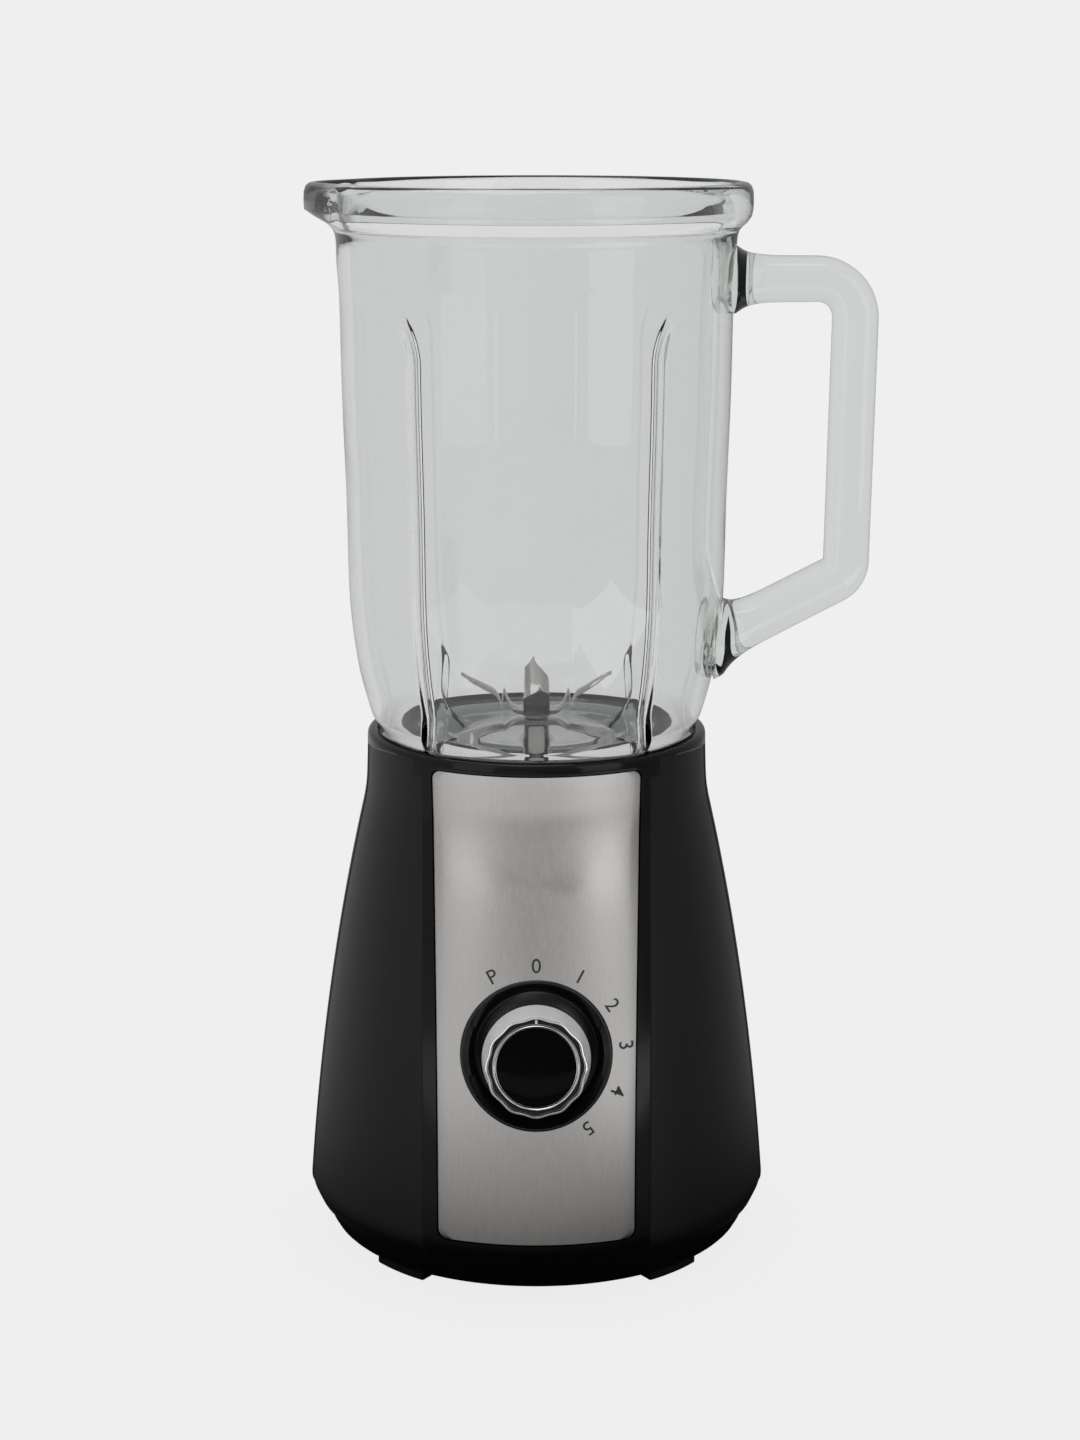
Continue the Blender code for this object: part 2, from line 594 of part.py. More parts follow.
# ---- Bottom cover, feet, screws, inlet --------------------------------------------------------
def bottom_cover():
    """Shallow dish that closes the housing, with vents for the motor's cooling air."""
    low, high = COVER_UNDERSIDE_Z, COVER_TOP_Z
    outline = [
        (COVER_RADIUS, high), (COVER_RADIUS - 0.0006, high - 0.0050), (COVER_FOOT_RADIUS, low + 0.0010),
        (COVER_FOOT_RADIUS - 0.0010, low), (0, low), (0, low + COVER_WALL),
        (COVER_FOOT_RADIUS - COVER_WALL, low + COVER_WALL), (COVER_RADIUS - COVER_WALL, high)]
    run = outline[4::-1] + outline[:4:-1]
    cover = part("bottom_cover", turned(run, 32), BLACK_PLASTIC)
    for azimuth in SCREW_AZIMUTHS:
        hole = rod(SCREW_RADIUS + GAP, low - EPS, low + COVER_WALL + EPS, 10)
        shape_with(cover, "DIFFERENCE", hole, place=around(azimuth, BOSS_CIRCLE))
    half_x, half_y = VENT_WIDTH / 2, VENT_LENGTH / 2
    for i in range(VENT_COUNT):
        vent = block((-half_x, -half_y, low - EPS), (half_x, half_y, low + COVER_WALL + EPS))
        shape_with(cover, "DIFFERENCE", vent, place=around(math.tau * i / VENT_COUNT, VENT_RADIUS))


def feet():
    """Four arc-shaped rubber pads under the cover."""
    names = ("foot_front_right", "foot_rear_right", "foot_rear_left", "foot_front_left")
    centres = (FOOT_AZIMUTH, math.pi - FOOT_AZIMUTH, math.pi + FOOT_AZIMUTH, -FOOT_AZIMUTH)
    steps = 8
    for name, centre in zip(names, centres):
        inner, outer = [], []
        for i in range(steps + 1):
            angle = centre - FOOT_SPAN / 2 + FOOT_SPAN * i / steps
            across = (math.sin(angle), -math.cos(angle))
            outer.append(tuple(FOOT_OUTER_RADIUS * c for c in across))
            inner.append(tuple((FOOT_OUTER_RADIUS - FOOT_WIDTH) * c for c in across))
        part(name, prism([outer + inner[::-1]], 0, COVER_UNDERSIDE_Z - GAP), RUBBER)


def cover_screws():
    """Pan-head screws through the cover into the housing's bosses."""
    head_top = COVER_UNDERSIDE_Z - GAP
    tip = SKIRT_Z + BOSS_HEIGHT - SCREW_SHORT
    outline = [(0, tip), (SCREW_RADIUS - GAP, tip), (SCREW_RADIUS - GAP, head_top),
               (SCREW_HEAD_RADIUS, head_top),
               (SCREW_HEAD_RADIUS - SCREW_HEAD_CHAMFER, head_top - SCREW_HEAD_HEIGHT),
               (0, head_top - SCREW_HEAD_HEIGHT)]
    for i, azimuth in enumerate(SCREW_AZIMUTHS):
        part(f"cover_screw_{i + 1}", turned(outline, 10), SCREW_ZINC, place=around(azimuth, BOSS_CIRCLE))


def cord_inlet():
    """Bush in the rear of the housing that the power cord would enter through."""
    face = body_radius(CORD_INLET_Z) + CORD_BUSH_PROUD
    back = body_radius(CORD_INLET_Z) - HOUSING_WALL - CORD_BUSH_LENGTH
    outline = [(CORD_INLET_RADIUS, -face), (CORD_INLET_RADIUS, -back), (CORD_BORE_RADIUS, -back),
               (CORD_BORE_RADIUS, -face)]
    place = Matrix.Translation((0, 0, CORD_INLET_Z)) @ Matrix.Rotation(math.pi / 2, 4, "X")
    part("cord_inlet", turned(outline, 20), RUBBER, place=place)


# ---- Motor ------------------------------------------------------------------------------------
def damper_places():
    """Where the four dampers stand on the upper bracket."""
    return [(sx * DAMPER_X, sy * DAMPER_Y) for sx in (-1, 1) for sy in (-1, 1)]


def motor_mounting():
    """Rubber dampers between the bracket and the deck, each with a screw from below."""
    top = DECK_Z - DECK_THICKNESS - GAP
    seat = UPPER_BRACKET_Z - BRACKET_THICKNESS - GAP
    screw = [(0, DECK_Z - GAP), (SCREW_RADIUS, DECK_Z - GAP), (SCREW_RADIUS, seat),
             (SCREW_HEAD_RADIUS, seat), (SCREW_HEAD_RADIUS, seat - SCREW_HEAD_HEIGHT),
             (0, seat - SCREW_HEAD_HEIGHT)]
    for i, (x, y) in enumerate(damper_places()):
        place = Matrix.Translation((x, y, 0))
        damper = tube(SCREW_RADIUS + GAP, DAMPER_RADIUS, top - DAMPER_HEIGHT, top, 12)
        part(f"motor_damper_{i + 1}", damper, RUBBER, place=place)
        part(f"motor_screw_{i + 1}", turned(screw, 10), SCREW_ZINC, place=place)


def motor_brackets():
    """Cast bracket at each end of the stator, with a pocket for the bearing and two legs."""
    pocket = BEARING_RADIUS + GAP
    low = UPPER_BRACKET_Z - BRACKET_THICKNESS
    plate = [(-BRACKET_HALF_X, -BRACKET_HALF_Y), (BRACKET_HALF_X, -BRACKET_HALF_Y),
             (BRACKET_HALF_X, BRACKET_HALF_Y), (-BRACKET_HALF_X, BRACKET_HALF_Y)]
    holes = [circle(SCREW_RADIUS + GAP, 10, centre) for centre in damper_places()]
    ring_middle = circle(pocket + POCKET_WALL / 2)
    upper = part("motor_bracket_upper", prism([plate, ring_middle] + holes, low, UPPER_BRACKET_Z),
                 ALUMINIUM)
    ring = tube(pocket, pocket + POCKET_WALL, low - GAP, low + BEARING_HEIGHT)
    shape_with(upper, "UNION", ring)
    strip_low = LOWER_BRACKET_Z - BRACKET_THICKNESS
    strip = [(x / BRACKET_HALF_X * LOWER_STRIP_HALF_X, y) for x, y in plate]
    lower = part("motor_bracket_lower", prism([strip, ring_middle], strip_low, LOWER_BRACKET_Z),
                 ALUMINIUM)
    ring = tube(pocket, pocket + POCKET_WALL, strip_low - GAP, strip_low + BEARING_HEIGHT)
    shape_with(lower, "UNION", ring)
    for sign in (-1, 1):
        near, far = sorted((sign * BRACKET_HALF_Y, sign * (BRACKET_HALF_Y - LEG_WIDTH)))
        leg = block((-LEG_HALF_X, near, STATOR_TOP_Z + GAP), (LEG_HALF_X, far, UPPER_BRACKET_Z - GAP))
        shape_with(upper, "UNION", leg)
        leg = block((-LEG_HALF_X, near, strip_low + GAP), (LEG_HALF_X, far, STATOR_BOTTOM_Z - GAP))
        shape_with(lower, "UNION", leg)


def bearings():
    """Sintered bearings in the bracket pockets."""
    upper = UPPER_BRACKET_Z - BRACKET_THICKNESS
    lower = LOWER_BRACKET_Z - BRACKET_THICKNESS
    for name, z in (("bearing_upper", upper), ("bearing_lower", lower)):
        ring = tube(SHAFT_RADIUS + RUNNING, BEARING_RADIUS, z, z + BEARING_HEIGHT)
        part(name, ring, BRASS)


def stator_outline():
    """Bore of the two-pole lamination: pole faces, shoe tips and windows for the coils."""
    points = []
    root = math.asin(POLE_NECK / YOKE_INNER)
    neck = math.asin(POLE_NECK / POLE_SHOE)
    for side in (0, math.pi):
        face = [(POLE_BORE, POLE_SPAN * (i / 4 - 1)) for i in range(9)]
        shoe = [(POLE_SHOE, POLE_SPAN), (POLE_SHOE, neck), (YOKE_INNER, root)]
        window = [(YOKE_INNER, root + (math.pi - 2 * root) * i / 7) for i in range(1, 7)]
        back = [(YOKE_INNER, math.pi - root), (POLE_SHOE, math.pi - neck),
                (POLE_SHOE, math.pi - POLE_SPAN)]
        for radius, angle in face + shoe + window + back:
            points.append((radius * math.cos(angle + side), radius * math.sin(angle + side)))
    return points


def stator():
    """Laminated core and the two field coils round its poles."""
    core = prism([circle(STATOR_RADIUS, 40), stator_outline()], STATOR_BOTTOM_Z, STATOR_TOP_Z)
    part("stator_core", core, LAMINATION)
    inner_y = POLE_NECK + 2 * GAP
    outer_y = inner_y + COIL_WIDTH
    inner_x = POLE_SHOE + 2 * GAP
    middle = (STATOR_TOP_Z + STATOR_BOTTOM_Z) / 2
    inner_z = STATOR_HEIGHT / 2 + GAP
    outer_z = STATOR_HEIGHT / 2 + COIL_OVERHANG

    def oblong(half_y, half_z, cut):
        return [(-half_y + cut, -half_z), (half_y - cut, -half_z), (half_y, -half_z + cut),
                (half_y, half_z - cut), (half_y - cut, half_z), (-half_y + cut, half_z),
                (-half_y, half_z - cut), (-half_y, -half_z + cut)]

    loop = prism([oblong(outer_y, outer_z, 0.002), oblong(inner_y, inner_z, GAP)], inner_x,
                 inner_x + COIL_THICKNESS)
    turn = Matrix(((0, 0, 1, 0), (1, 0, 0, 0), (0, 1, 0, middle), (0, 0, 0, 1)))
    part("field_coil_right", loop, WINDING, place=turn)
    mirror = Matrix.Rotation(math.pi, 4, "Z") @ turn
    part("field_coil_left", loop.copy(), WINDING, place=mirror)


def brushes():
    """Carbon brushes in brass holders, on the front and rear sides of the commutator."""
    middle = commutator_top() - COMMUTATOR_HEIGHT / 2
    half = BRUSH_SIDE / 2
    reach = BRACKET_HALF_Y - LEG_WIDTH - GAP
    outer = half + GAP + HOLDER_WALL
    side = [(-outer, -outer), (outer, -outer), (outer, outer), (-outer, outer)]
    hole = [(x / outer * (half + GAP), y / outer * (half + GAP)) for x, y in side]
    for name, azimuth in (("front", 0), ("rear", math.pi)):
        place = around(azimuth) @ Matrix.Translation((0, 0, middle)) @ Matrix.Rotation(math.pi / 2, 4, "X")
        part(f"brush_holder_{name}", prism([side, hole], HOLDER_START, reach), BRASS, place=place)
        carbon = block((-half, -half, COMMUTATOR_RADIUS + GAP),
                       (half, half, COMMUTATOR_RADIUS + GAP + BRUSH_LENGTH))
        part(f"carbon_brush_{name}", carbon, CARBON, place=place)


# ---- Rotor ------------------------------------------------------------------------------------
def commutator_top():
    """Upper end of the commutator, under the lower winding."""
    return STATOR_BOTTOM_Z - GAP - WINDING_HEIGHT - GAP


def splines(root, tip):
    """Outline of the drive splines."""
    points = []
    for i in range(SPLINE_TEETH):
        start = math.tau * i / SPLINE_TEETH
        pitch = math.tau / SPLINE_TEETH
        for radius, share in ((root, 0.02), (root, 0.38), (tip, 0.52), (tip, 0.88)):
            angle = start + pitch * share
            points.append((radius * math.cos(angle), radius * math.sin(angle)))
    return points


def rotor():
    """Everything that turns on the motor shaft."""
    bore = SHAFT_RADIUS + GAP
    shaft = rod(SHAFT_RADIUS, FAN_BOTTOM_Z - 0.001, DRIVE_TOP_Z - 0.001)
    part("rotor_shaft", shaft, SHAFT_STEEL, ROTOR_AXIS)
    core_radius = POLE_BORE - AIR_GAP
    root = core_radius - ARMATURE_SLOT_DEPTH
    outline = []
    for i in range(ARMATURE_SLOTS):
        for radius, share in ((core_radius, 0.10), (core_radius, 0.45), (core_radius, 0.80),
                              (root, 0.84), (root, 0.98)):
            angle = math.tau * (i + share) / ARMATURE_SLOTS
            outline.append((radius * math.cos(angle), radius * math.sin(angle)))
    core = prism([outline, circle(bore)], STATOR_BOTTOM_Z, STATOR_TOP_Z)
    part("armature_core", core, LAMINATION, ROTOR_AXIS)
    for name, low in (("armature_winding_upper", STATOR_TOP_Z + GAP),
                      ("armature_winding_lower", STATOR_BOTTOM_Z - GAP - WINDING_HEIGHT)):
        high = low + WINDING_HEIGHT
        crown = [(WINDING_RADIUS, low + 0.0015), (WINDING_RADIUS, high - 0.0015),
                 (WINDING_RADIUS - 0.002, high), (bore, high), (bore, low), (WINDING_RADIUS - 0.002, low)]
        part(name, turned(crown[::-1]), WINDING, ROTOR_AXIS)
    top = commutator_top()
    part("commutator", tube(bore, COMMUTATOR_RADIUS, top - COMMUTATOR_HEIGHT, top), COPPER, ROTOR_AXIS)
    fan = []
    for i in range(FAN_BLADES):
        for radius, share in ((FAN_HUB, 0.0), (FAN_RADIUS, 0.16), (FAN_RADIUS, 0.22), (FAN_HUB, 0.10)):
            angle = math.tau * (i + share) / FAN_BLADES
            fan.append((radius * math.cos(angle), radius * math.sin(angle)))
    part("cooling_fan", prism([fan, circle(bore)], FAN_BOTTOM_Z, FAN_TOP_Z), BLACK_PLASTIC, ROTOR_AXIS)
    drive = prism([splines(SPLINE_ROOT, SPLINE_TIP), circle(bore)], DRIVE_BOTTOM_Z, DRIVE_TOP_Z)
    part("drive_coupling", drive, BLACK_PLASTIC, ROTOR_AXIS)


# ---- Seat and jug -----------------------------------------------------------------------------
def jug_seat():
    """Moulded insert in the collar that the jug stands on, with lugs that stop it turning."""
    wall = SEAT_WALL
    top = JUG_BOTTOM_Z + SEAT_RISE
    rest = JUG_BOTTOM_Z - GAP
    low = DECK_Z + GAP
    ledge = JUG_ENTRY - JUG_FOOT[-1][0]
    outline = [
        (SEAT_RADIUS, top), (SEAT_RADIUS, low), (SEAT_RADIUS - wall, low),
        (SEAT_RADIUS - wall, rest - wall * 1.5), (WELL_RADIUS + wall, rest - wall),
        (WELL_RADIUS + wall, low), (DECK_BORE, low), (DECK_BORE, low + wall),
        (WELL_RADIUS, low + wall), (WELL_RADIUS, rest), (ledge, rest),
        (ledge + 0.0040, rest + 0.0014), (SEAT_RADIUS - wall * 0.65, top)]
    seat = part("jug_seat", turned(outline, 32), RUBBER)
    inner = JUG_ENTRY - GROOVE_DEPTH + JUG_CLEARANCE
    for azimuth in GROOVE_AZIMUTHS:
        lug = block((-LUG_HALF_WIDTH, -(SEAT_RADIUS - GAP) * math.cos(0.03), rest - wall / 2),
                    (LUG_HALF_WIDTH, -inner, top + LUG_RISE))
        shape_with(seat, "UNION", lug, place=around(azimuth))


def jug_columns():
    """Azimuths of the jug's columns: even, but crowded at the grooves."""
    half = GROOVE_HALF_WIDTH / (JUG_ENTRY + JUG_IN_COLLAR)
    columns = [g + half * k for g in GROOVE_AZIMUTHS for k in (-1, -0.45, 0.45, 1)]
    for i in range(32):
        angle = math.tau * i / 32
        if min(abs(angle - g) for g in GROOVE_AZIMUTHS) > half * 1.8:
            columns.append(angle)
    return sorted(columns)


def hook_shift(angle, upright):
    """Turn that carries the upright run of the grooves towards the front or the rear."""
    near = min(abs(angle - g) for g in GROOVE_AZIMUTHS)
    side = -1 if math.sin(2 * angle) > 0 else 1
    return side * upright * GROOVE_HOOK * max(0.0, 1 - near / HOOK_REACH)


def jug_ring(radius, z, groove=0.0, spout=0.0, upright=1.0):
    """One ring of the jug: grooves pressed in at four azimuths, spout pushed out at -X."""
    half = GROOVE_HALF_WIDTH / (JUG_ENTRY + JUG_IN_COLLAR)
    ring = []
    for column in jug_columns():
        reach = radius
        near = min(abs(column - g) for g in GROOVE_AZIMUTHS)
        if near < half * 0.9:
            reach -= groove
        angle = column + hook_shift(column, upright)
        off = abs(angle - 1.5 * math.pi) / SPOUT_HALF_ANGLE
        if off < 1:
            reach += spout * math.cos(off * math.pi / 2) ** 2
        ring.append((reach * math.sin(angle), -reach * math.cos(angle), z))
    return ring


def jug_levels():
    """Outside of the jug from the rim down: (radius, level, groove share, spout share, upright)."""
    top, low = JUG_TOP_Z, JUG_BOTTOM_Z
    waist = JUG_BODY_RADIUS - JUG_TAPER
    below = top - GROOVE_BELOW_RIM
    levels = [
        (BEAD_RADIUS - 0.0010, top, 0, 1, 0),
        (BEAD_RADIUS, top - 0.0012, 0, 1, 0),
        (BEAD_RADIUS, top - BEAD_HEIGHT + 0.0045, 0, 0.9, 0),
        (JUG_BODY_RADIUS + 0.0022, top - BEAD_HEIGHT, 0, 0.55, 0),
        (JUG_BODY_RADIUS, top - BEAD_HEIGHT - 0.0035, 0, 0.25, 0),
        (JUG_BODY_RADIUS, top - SPOUT_DEPTH, 0, 0, 0),
        (JUG_BODY_RADIUS - 0.0007, below, 0, 0, 0),
        (JUG_BODY_RADIUS - 0.0009, below - 0.012, 0.8, 0, 1),
        ((JUG_BODY_RADIUS + waist) / 2, (top + low) / 2, 0.8, 0, 1),
        (waist, low + 0.055, 0.9, 0, 1)]
    for (past, rise), upright in zip(JUG_SHOULDER, (1, 0.5, 0)):
        levels.append((JUG_ENTRY + past, low + rise, 1, 0, upright))
    for (inset, rise), share in zip(JUG_FOOT, (1, 0.9, 0.5, 0)):
        levels.append((JUG_ENTRY - inset, low + rise, share, 0, 0))
    return levels


def glass_jug():
    """Pressed glass jug: outside, hub bore, floor, inside and rim ledge in one closed loop."""
    top, floor = JUG_TOP_Z, JUG_FLOOR_Z
    rings = [jug_ring(radius, z, share * GROOVE_DEPTH, spout * SPOUT_REACH, upright)
             for radius, z, share, spout, upright in jug_levels()]
    rings += [jug_ring(HUB_BORE, JUG_BOTTOM_Z, upright=0), jug_ring(HUB_BORE, floor, upright=0)]
    entry = JUG_ENTRY + JUG_SHOULDER[1][0] - JUG_WALL
    for inset, rise, share in ((0.0075, 0, 0), (0.0036, 0.0015, 0.3), (0.0015, 0.0055, 0.7)):
        rings.append(jug_ring(entry - inset, floor + rise, GROOVE_DEPTH * share, upright=0))
    lowest = JUG_BOTTOM_Z + JUG_SHOULDER[2][1] + EPS
    inside = [level for level in jug_levels() if lowest < level[1] < top - BEAD_HEIGHT]
    for radius, z, share, spout, upright in reversed(inside):
        rib = share * GROOVE_DEPTH * 0.8
        rings.append(jug_ring(radius - JUG_WALL, z, rib, spout * SPOUT_REACH, upright))
    spout = SPOUT_REACH + 0.0010
    ledge = top - LEDGE_DEPTH
    for radius, z, share in (
            (JUG_BODY_RADIUS - JUG_WALL, ledge - 0.0006, 0.35), (LEDGE_RADIUS, ledge + 0.0006, 0.4),
            (LEDGE_RADIUS + 0.0012, top - 0.0020, 1), (LEDGE_RADIUS + 0.0022, top, 1)):
        rings.append(jug_ring(radius, z, 0, spout * share, upright=0))
    jug = part("glass_jug", lofted(rings, closed=True), GLASS, JUG_AXIS)
    shape_with(jug, "UNION", handle_mesh(), parent=JUG_AXIS)


def rounded_path(corners, bends, steps):
    """Path through corner points with each inner corner replaced by an arc of its bend radius."""
    path = [corners[0]]
    for before, corner, after, bend in zip(corners, corners[1:], corners[2:], bends):
        into = (corner - before).normalized()
        out = (after - corner).normalized()
        turn = into.angle(out)
        cut = bend * math.tan(turn / 2)
        start, end = corner - into * cut, corner + out * cut
        middle = (start + end) / 2
        centre = corner + (middle - corner).normalized() * (bend / math.cos(turn / 2))
        for i in range(steps + 1):
            share = i / steps
            ray = (start - centre).slerp(end - centre, share)
            path.append(centre + ray.normalized() * bend)
    path.append(corners[-1])
    return path


def handle_mesh():
    """Solid glass D handle with flared roots that sink into the jug wall."""
    top = JUG_TOP_Z - HANDLE_TOP
    outer = HANDLE_REACH - HANDLE_THICKNESS / 2
    corner_z = top - HANDLE_DROP
    root_x = JUG_BODY_RADIUS - JUG_TAPER - 0.7 * JUG_WALL
    upper = Vector((JUG_BODY_RADIUS - 0.8 * JUG_WALL, 0, top))
    lower = Vector((root_x, 0, corner_z - HANDLE_SLOPE * (outer - HANDLE_LEAN - root_x)))
    corners = [upper, Vector((outer, 0, top)), Vector((outer - HANDLE_LEAN, 0, corner_z)), lower]
    path = rounded_path(corners, (HANDLE_UPPER_BEND, HANDLE_LOWER_BEND), 5)
    roots = [upper + Vector((d, 0, 0)) for d in (0.004, 0.0065, 0.010, 0.016)]
    along = (corners[2] - lower).normalized()
    tails = [lower + along * d for d in (0.017, 0.011, 0.0075, 0.0045)]
    path = path[:1] + roots + path[1:-1] + tails + path[-1:]
    rings = []
    for i, point in enumerate(path):
        ahead = path[min(i + 1, len(path) - 1)] - path[max(i - 1, 0)]
        normal = Vector((-ahead.z, 0, ahead.x)).normalized()
        stretch = 1.0
        if i < 5 or i >= len(path) - 5:
            normal = Vector((0, 0, 1 if i < 5 else -1))
            stretch = 1.0 if i < 5 else math.hypot(1, HANDLE_SLOPE)
        wall = JUG_BODY_RADIUS - (0 if i < len(path) / 2 else JUG_TAPER)
        flare = 1 + ROOT_FLARE * math.exp(-max(point.x - wall, 0) / ROOT_FADE)
        half, width = HANDLE_THICKNESS / 2 * stretch * flare, HANDLE_WIDTH / 2 * flare
        ring = []
        for k in range(12):
            angle = math.tau * k / 12
            c, s = math.cos(angle), math.sin(angle)
            c = math.copysign(abs(c) ** SQUARENESS, c)
            s = math.copysign(abs(s) ** SQUARENESS, s)
            ring.append(point + normal * (half * c) + Vector((0, width * s, 0)))
        rings.append(ring)
    return lofted(rings, closed=False)


def hub():
    """Bearing unit clamped through the jug's floor, with its seals and lock nut."""
    bush = BLADE_SHAFT_RADIUS + RUNNING
    body = HUB_BORE - 0.0004
    flange = JUG_FLOOR_Z + GASKET + 2 * GAP
    neck_top = LOWER_BLADE_Z - GAP
    bottom = LOCK_NUT_BOTTOM_Z + 0.0005
    bore = bush + 0.0011
    outline = [
        (HUB_NECK - 0.0006, neck_top), (HUB_NECK, neck_top - 0.0008), (HUB_NECK, flange + 0.0020),
        (FLANGE_RADIUS, flange + 0.0006), (FLANGE_RADIUS, flange), (body, flange), (body, bottom),
        (bore, bottom), (bore, neck_top - 0.0010), (bush, neck_top - 0.0010), (bush, neck_top)]
    part("blade_bearing_housing", turned(outline, 20), BLADE_STEEL, JUG_AXIS)
    sleeve = tube(bush, bore - GAP, bottom, neck_top - 0.0010 - GAP, 20)
    part("blade_bearing_bush", sleeve, BRASS, JUG_AXIS)
    seal = tube(body + GAP, FLANGE_RADIUS + 0.0004, JUG_FLOOR_Z + GAP, JUG_FLOOR_Z + GAP + GASKET)
    part("gasket_upper", seal, SILICONE, JUG_AXIS)
    seal = tube(body + GAP, LOCK_NUT_RADIUS * 0.95, JUG_BOTTOM_Z - GAP - GASKET, JUG_BOTTOM_Z - GAP)
    part("gasket_lower", seal, SILICONE, JUG_AXIS)
    nut = prism([circle(LOCK_NUT_RADIUS, 6), circle(body + GAP)], LOCK_NUT_BOTTOM_Z, LOCK_NUT_TOP_Z)
    part("hub_lock_nut", nut, SHAFT_STEEL, JUG_AXIS)


# ---- Blade ------------------------------------------------------------------------------------
def blade_mesh(wings, reach, rise, z):
    """Stamped blade: a square middle with bent wings; wings lists the turns that carry one."""
    half = BLADE_HALF_WIDTH
    lift = Vector((0, 0, BLADE_THICKNESS))
    shares = ((0.30, 1.0, -1.0), (0.66, 0.95, -0.92), (0.88, 0.85, -0.45), (1.0, 0.42, 0.12))
    body = bmesh.new()
    corners = [Vector((sx * half, sy * half, z)) for sx, sy in ((1, -1), (1, 1), (-1, 1), (-1, -1))]
    low = [body.verts.new(corner) for corner in corners]
    high = [body.verts.new(corner + lift) for corner in corners]
    body.faces.new(low)
    body.faces.new(high)
    for k in range(4):
        edge = (low[k], low[(k + 1) % 4], high[(k + 1) % 4], high[k])
        if k not in wings:
            body.faces.new(edge)
            continue
        turn = Matrix.Rotation(math.pi / 2 * k, 3, "Z")
        for share, left, right in shares:
            x = half + (reach - half) * share
            bend = max(0.0, share - 0.10) / 0.90
            foot = z + rise * bend
            points = [turn @ Vector((x, right * half, foot)), turn @ Vector((x, left * half, foot))]
            points += [points[1] + lift, points[0] + lift]
            ring = [body.verts.new(point) for point in points]
            for i in range(4):
                j = (i + 1) % 4
                body.faces.new((edge[i], edge[j], ring[j], ring[i]))
            edge = ring
        body.faces.new(edge)
    return finished(body, "blade")


def blade():
    """Blade stack on its shaft and the splined socket under the jug."""
    bore = BLADE_SHAFT_RADIUS + GAP
    shaft_top = CAP_NUT_Z + CAP_NUT_HEIGHT * 0.6
    shaft = rod(BLADE_SHAFT_RADIUS, SOCKET_FLOOR_Z + GAP, shaft_top)
    part("blade_shaft", shaft, SHAFT_STEEL, BLADE_AXIS)
    for name, wings, reach, rise, z in (
            ("blade_upper", (0, 1, 2, 3), UPPER_REACH, UPPER_RISE, UPPER_BLADE_Z),
            ("blade_lower", (0, 2), LOWER_REACH, -LOWER_DROP, LOWER_BLADE_Z)):
        plate = part(name, blade_mesh(wings, reach, rise, z), BLADE_STEEL, BLADE_AXIS)
        hole = rod(bore, z - EPS, z + BLADE_THICKNESS + EPS)
        shape_with(plate, "DIFFERENCE", hole, parent=BLADE_AXIS)
    low = LOWER_BLADE_Z + BLADE_THICKNESS + GAP
    part("blade_spacer", tube(bore, SPACER_RADIUS, low, UPPER_BLADE_Z - GAP), BLADE_STEEL, BLADE_AXIS)
    rim, top = CAP_NUT_RADIUS, CAP_NUT_Z + CAP_NUT_HEIGHT
    nut = turned([(0, top), (rim - 0.0020, top), (rim - 0.0006, top - 0.0012), (rim, top - 0.0022),
                  (rim, CAP_NUT_Z), (bore, CAP_NUT_Z), (bore, shaft_top + GAP), (0, shaft_top + GAP)], 16)
    part("blade_cap_nut", nut, BLADE_STEEL, BLADE_AXIS)
    inner = splines(SPLINE_ROOT + SPLINE_PLAY, SPLINE_TIP + SPLINE_PLAY)
    mouth = DRIVE_BOTTOM_Z + 0.0015
    socket = prism([circle(SOCKET_RADIUS, 24), inner], mouth, SOCKET_FLOOR_Z + GAP)
    coupling = part("jug_coupling", socket, BLACK_PLASTIC, BLADE_AXIS)
    lid = tube(bore, SOCKET_RADIUS - GAP, SOCKET_FLOOR_Z, SOCKET_TOP_Z, 24)
    shape_with(coupling, "UNION", lid, parent=BLADE_AXIS)


# ---- Switch and knob --------------------------------------------------------------------------
def rotary_switch():
    """Switch body behind the bezel, held by a nut on its bushing."""
    back = -BEZEL_DEPTH - BEZEL_WALL - GAP
    half = SWITCH_SIDE / 2
    bore = circle(SPINDLE_RADIUS + RUNNING, 20)
    side = [(-half, -half), (half, -half), (half, half), (-half, half)]
    body = part("switch_body", prism([side, bore], back - SWITCH_DEPTH, back), BROWN_PHENOLIC,
                place=DIAL_PLACE)
    bushing_top = -BEZEL_DEPTH + SWITCH_NUT_HEIGHT + 2 * GAP
    bushing = prism([circle(BUSHING_RADIUS), bore], back - GAP, bushing_top)
    shape_with(body, "UNION", bushing, place=DIAL_PLACE)
    low = -BEZEL_DEPTH + GAP
    nut = prism([circle(SWITCH_NUT_RADIUS, 6), circle(BUSHING_RADIUS + GAP)], low, low + SWITCH_NUT_HEIGHT)
    part("switch_nut", nut, SCREW_ZINC, place=DIAL_PLACE)


def knob_ring_points(radius, height, scallop=0.0):
    """Ring of the knob; its scallops are shallow hollows round the rim."""
    steps = 3 * KNOB_SCALLOPS
    points = []
    for i in range(steps):
        angle = math.tau * i / steps
        hollow = scallop * SCALLOP_DEPTH * (0.5 - 0.5 * math.cos(KNOB_SCALLOPS * angle))
        points.append(((radius - hollow) * math.cos(angle), (radius - hollow) * math.sin(angle), height))
    return points


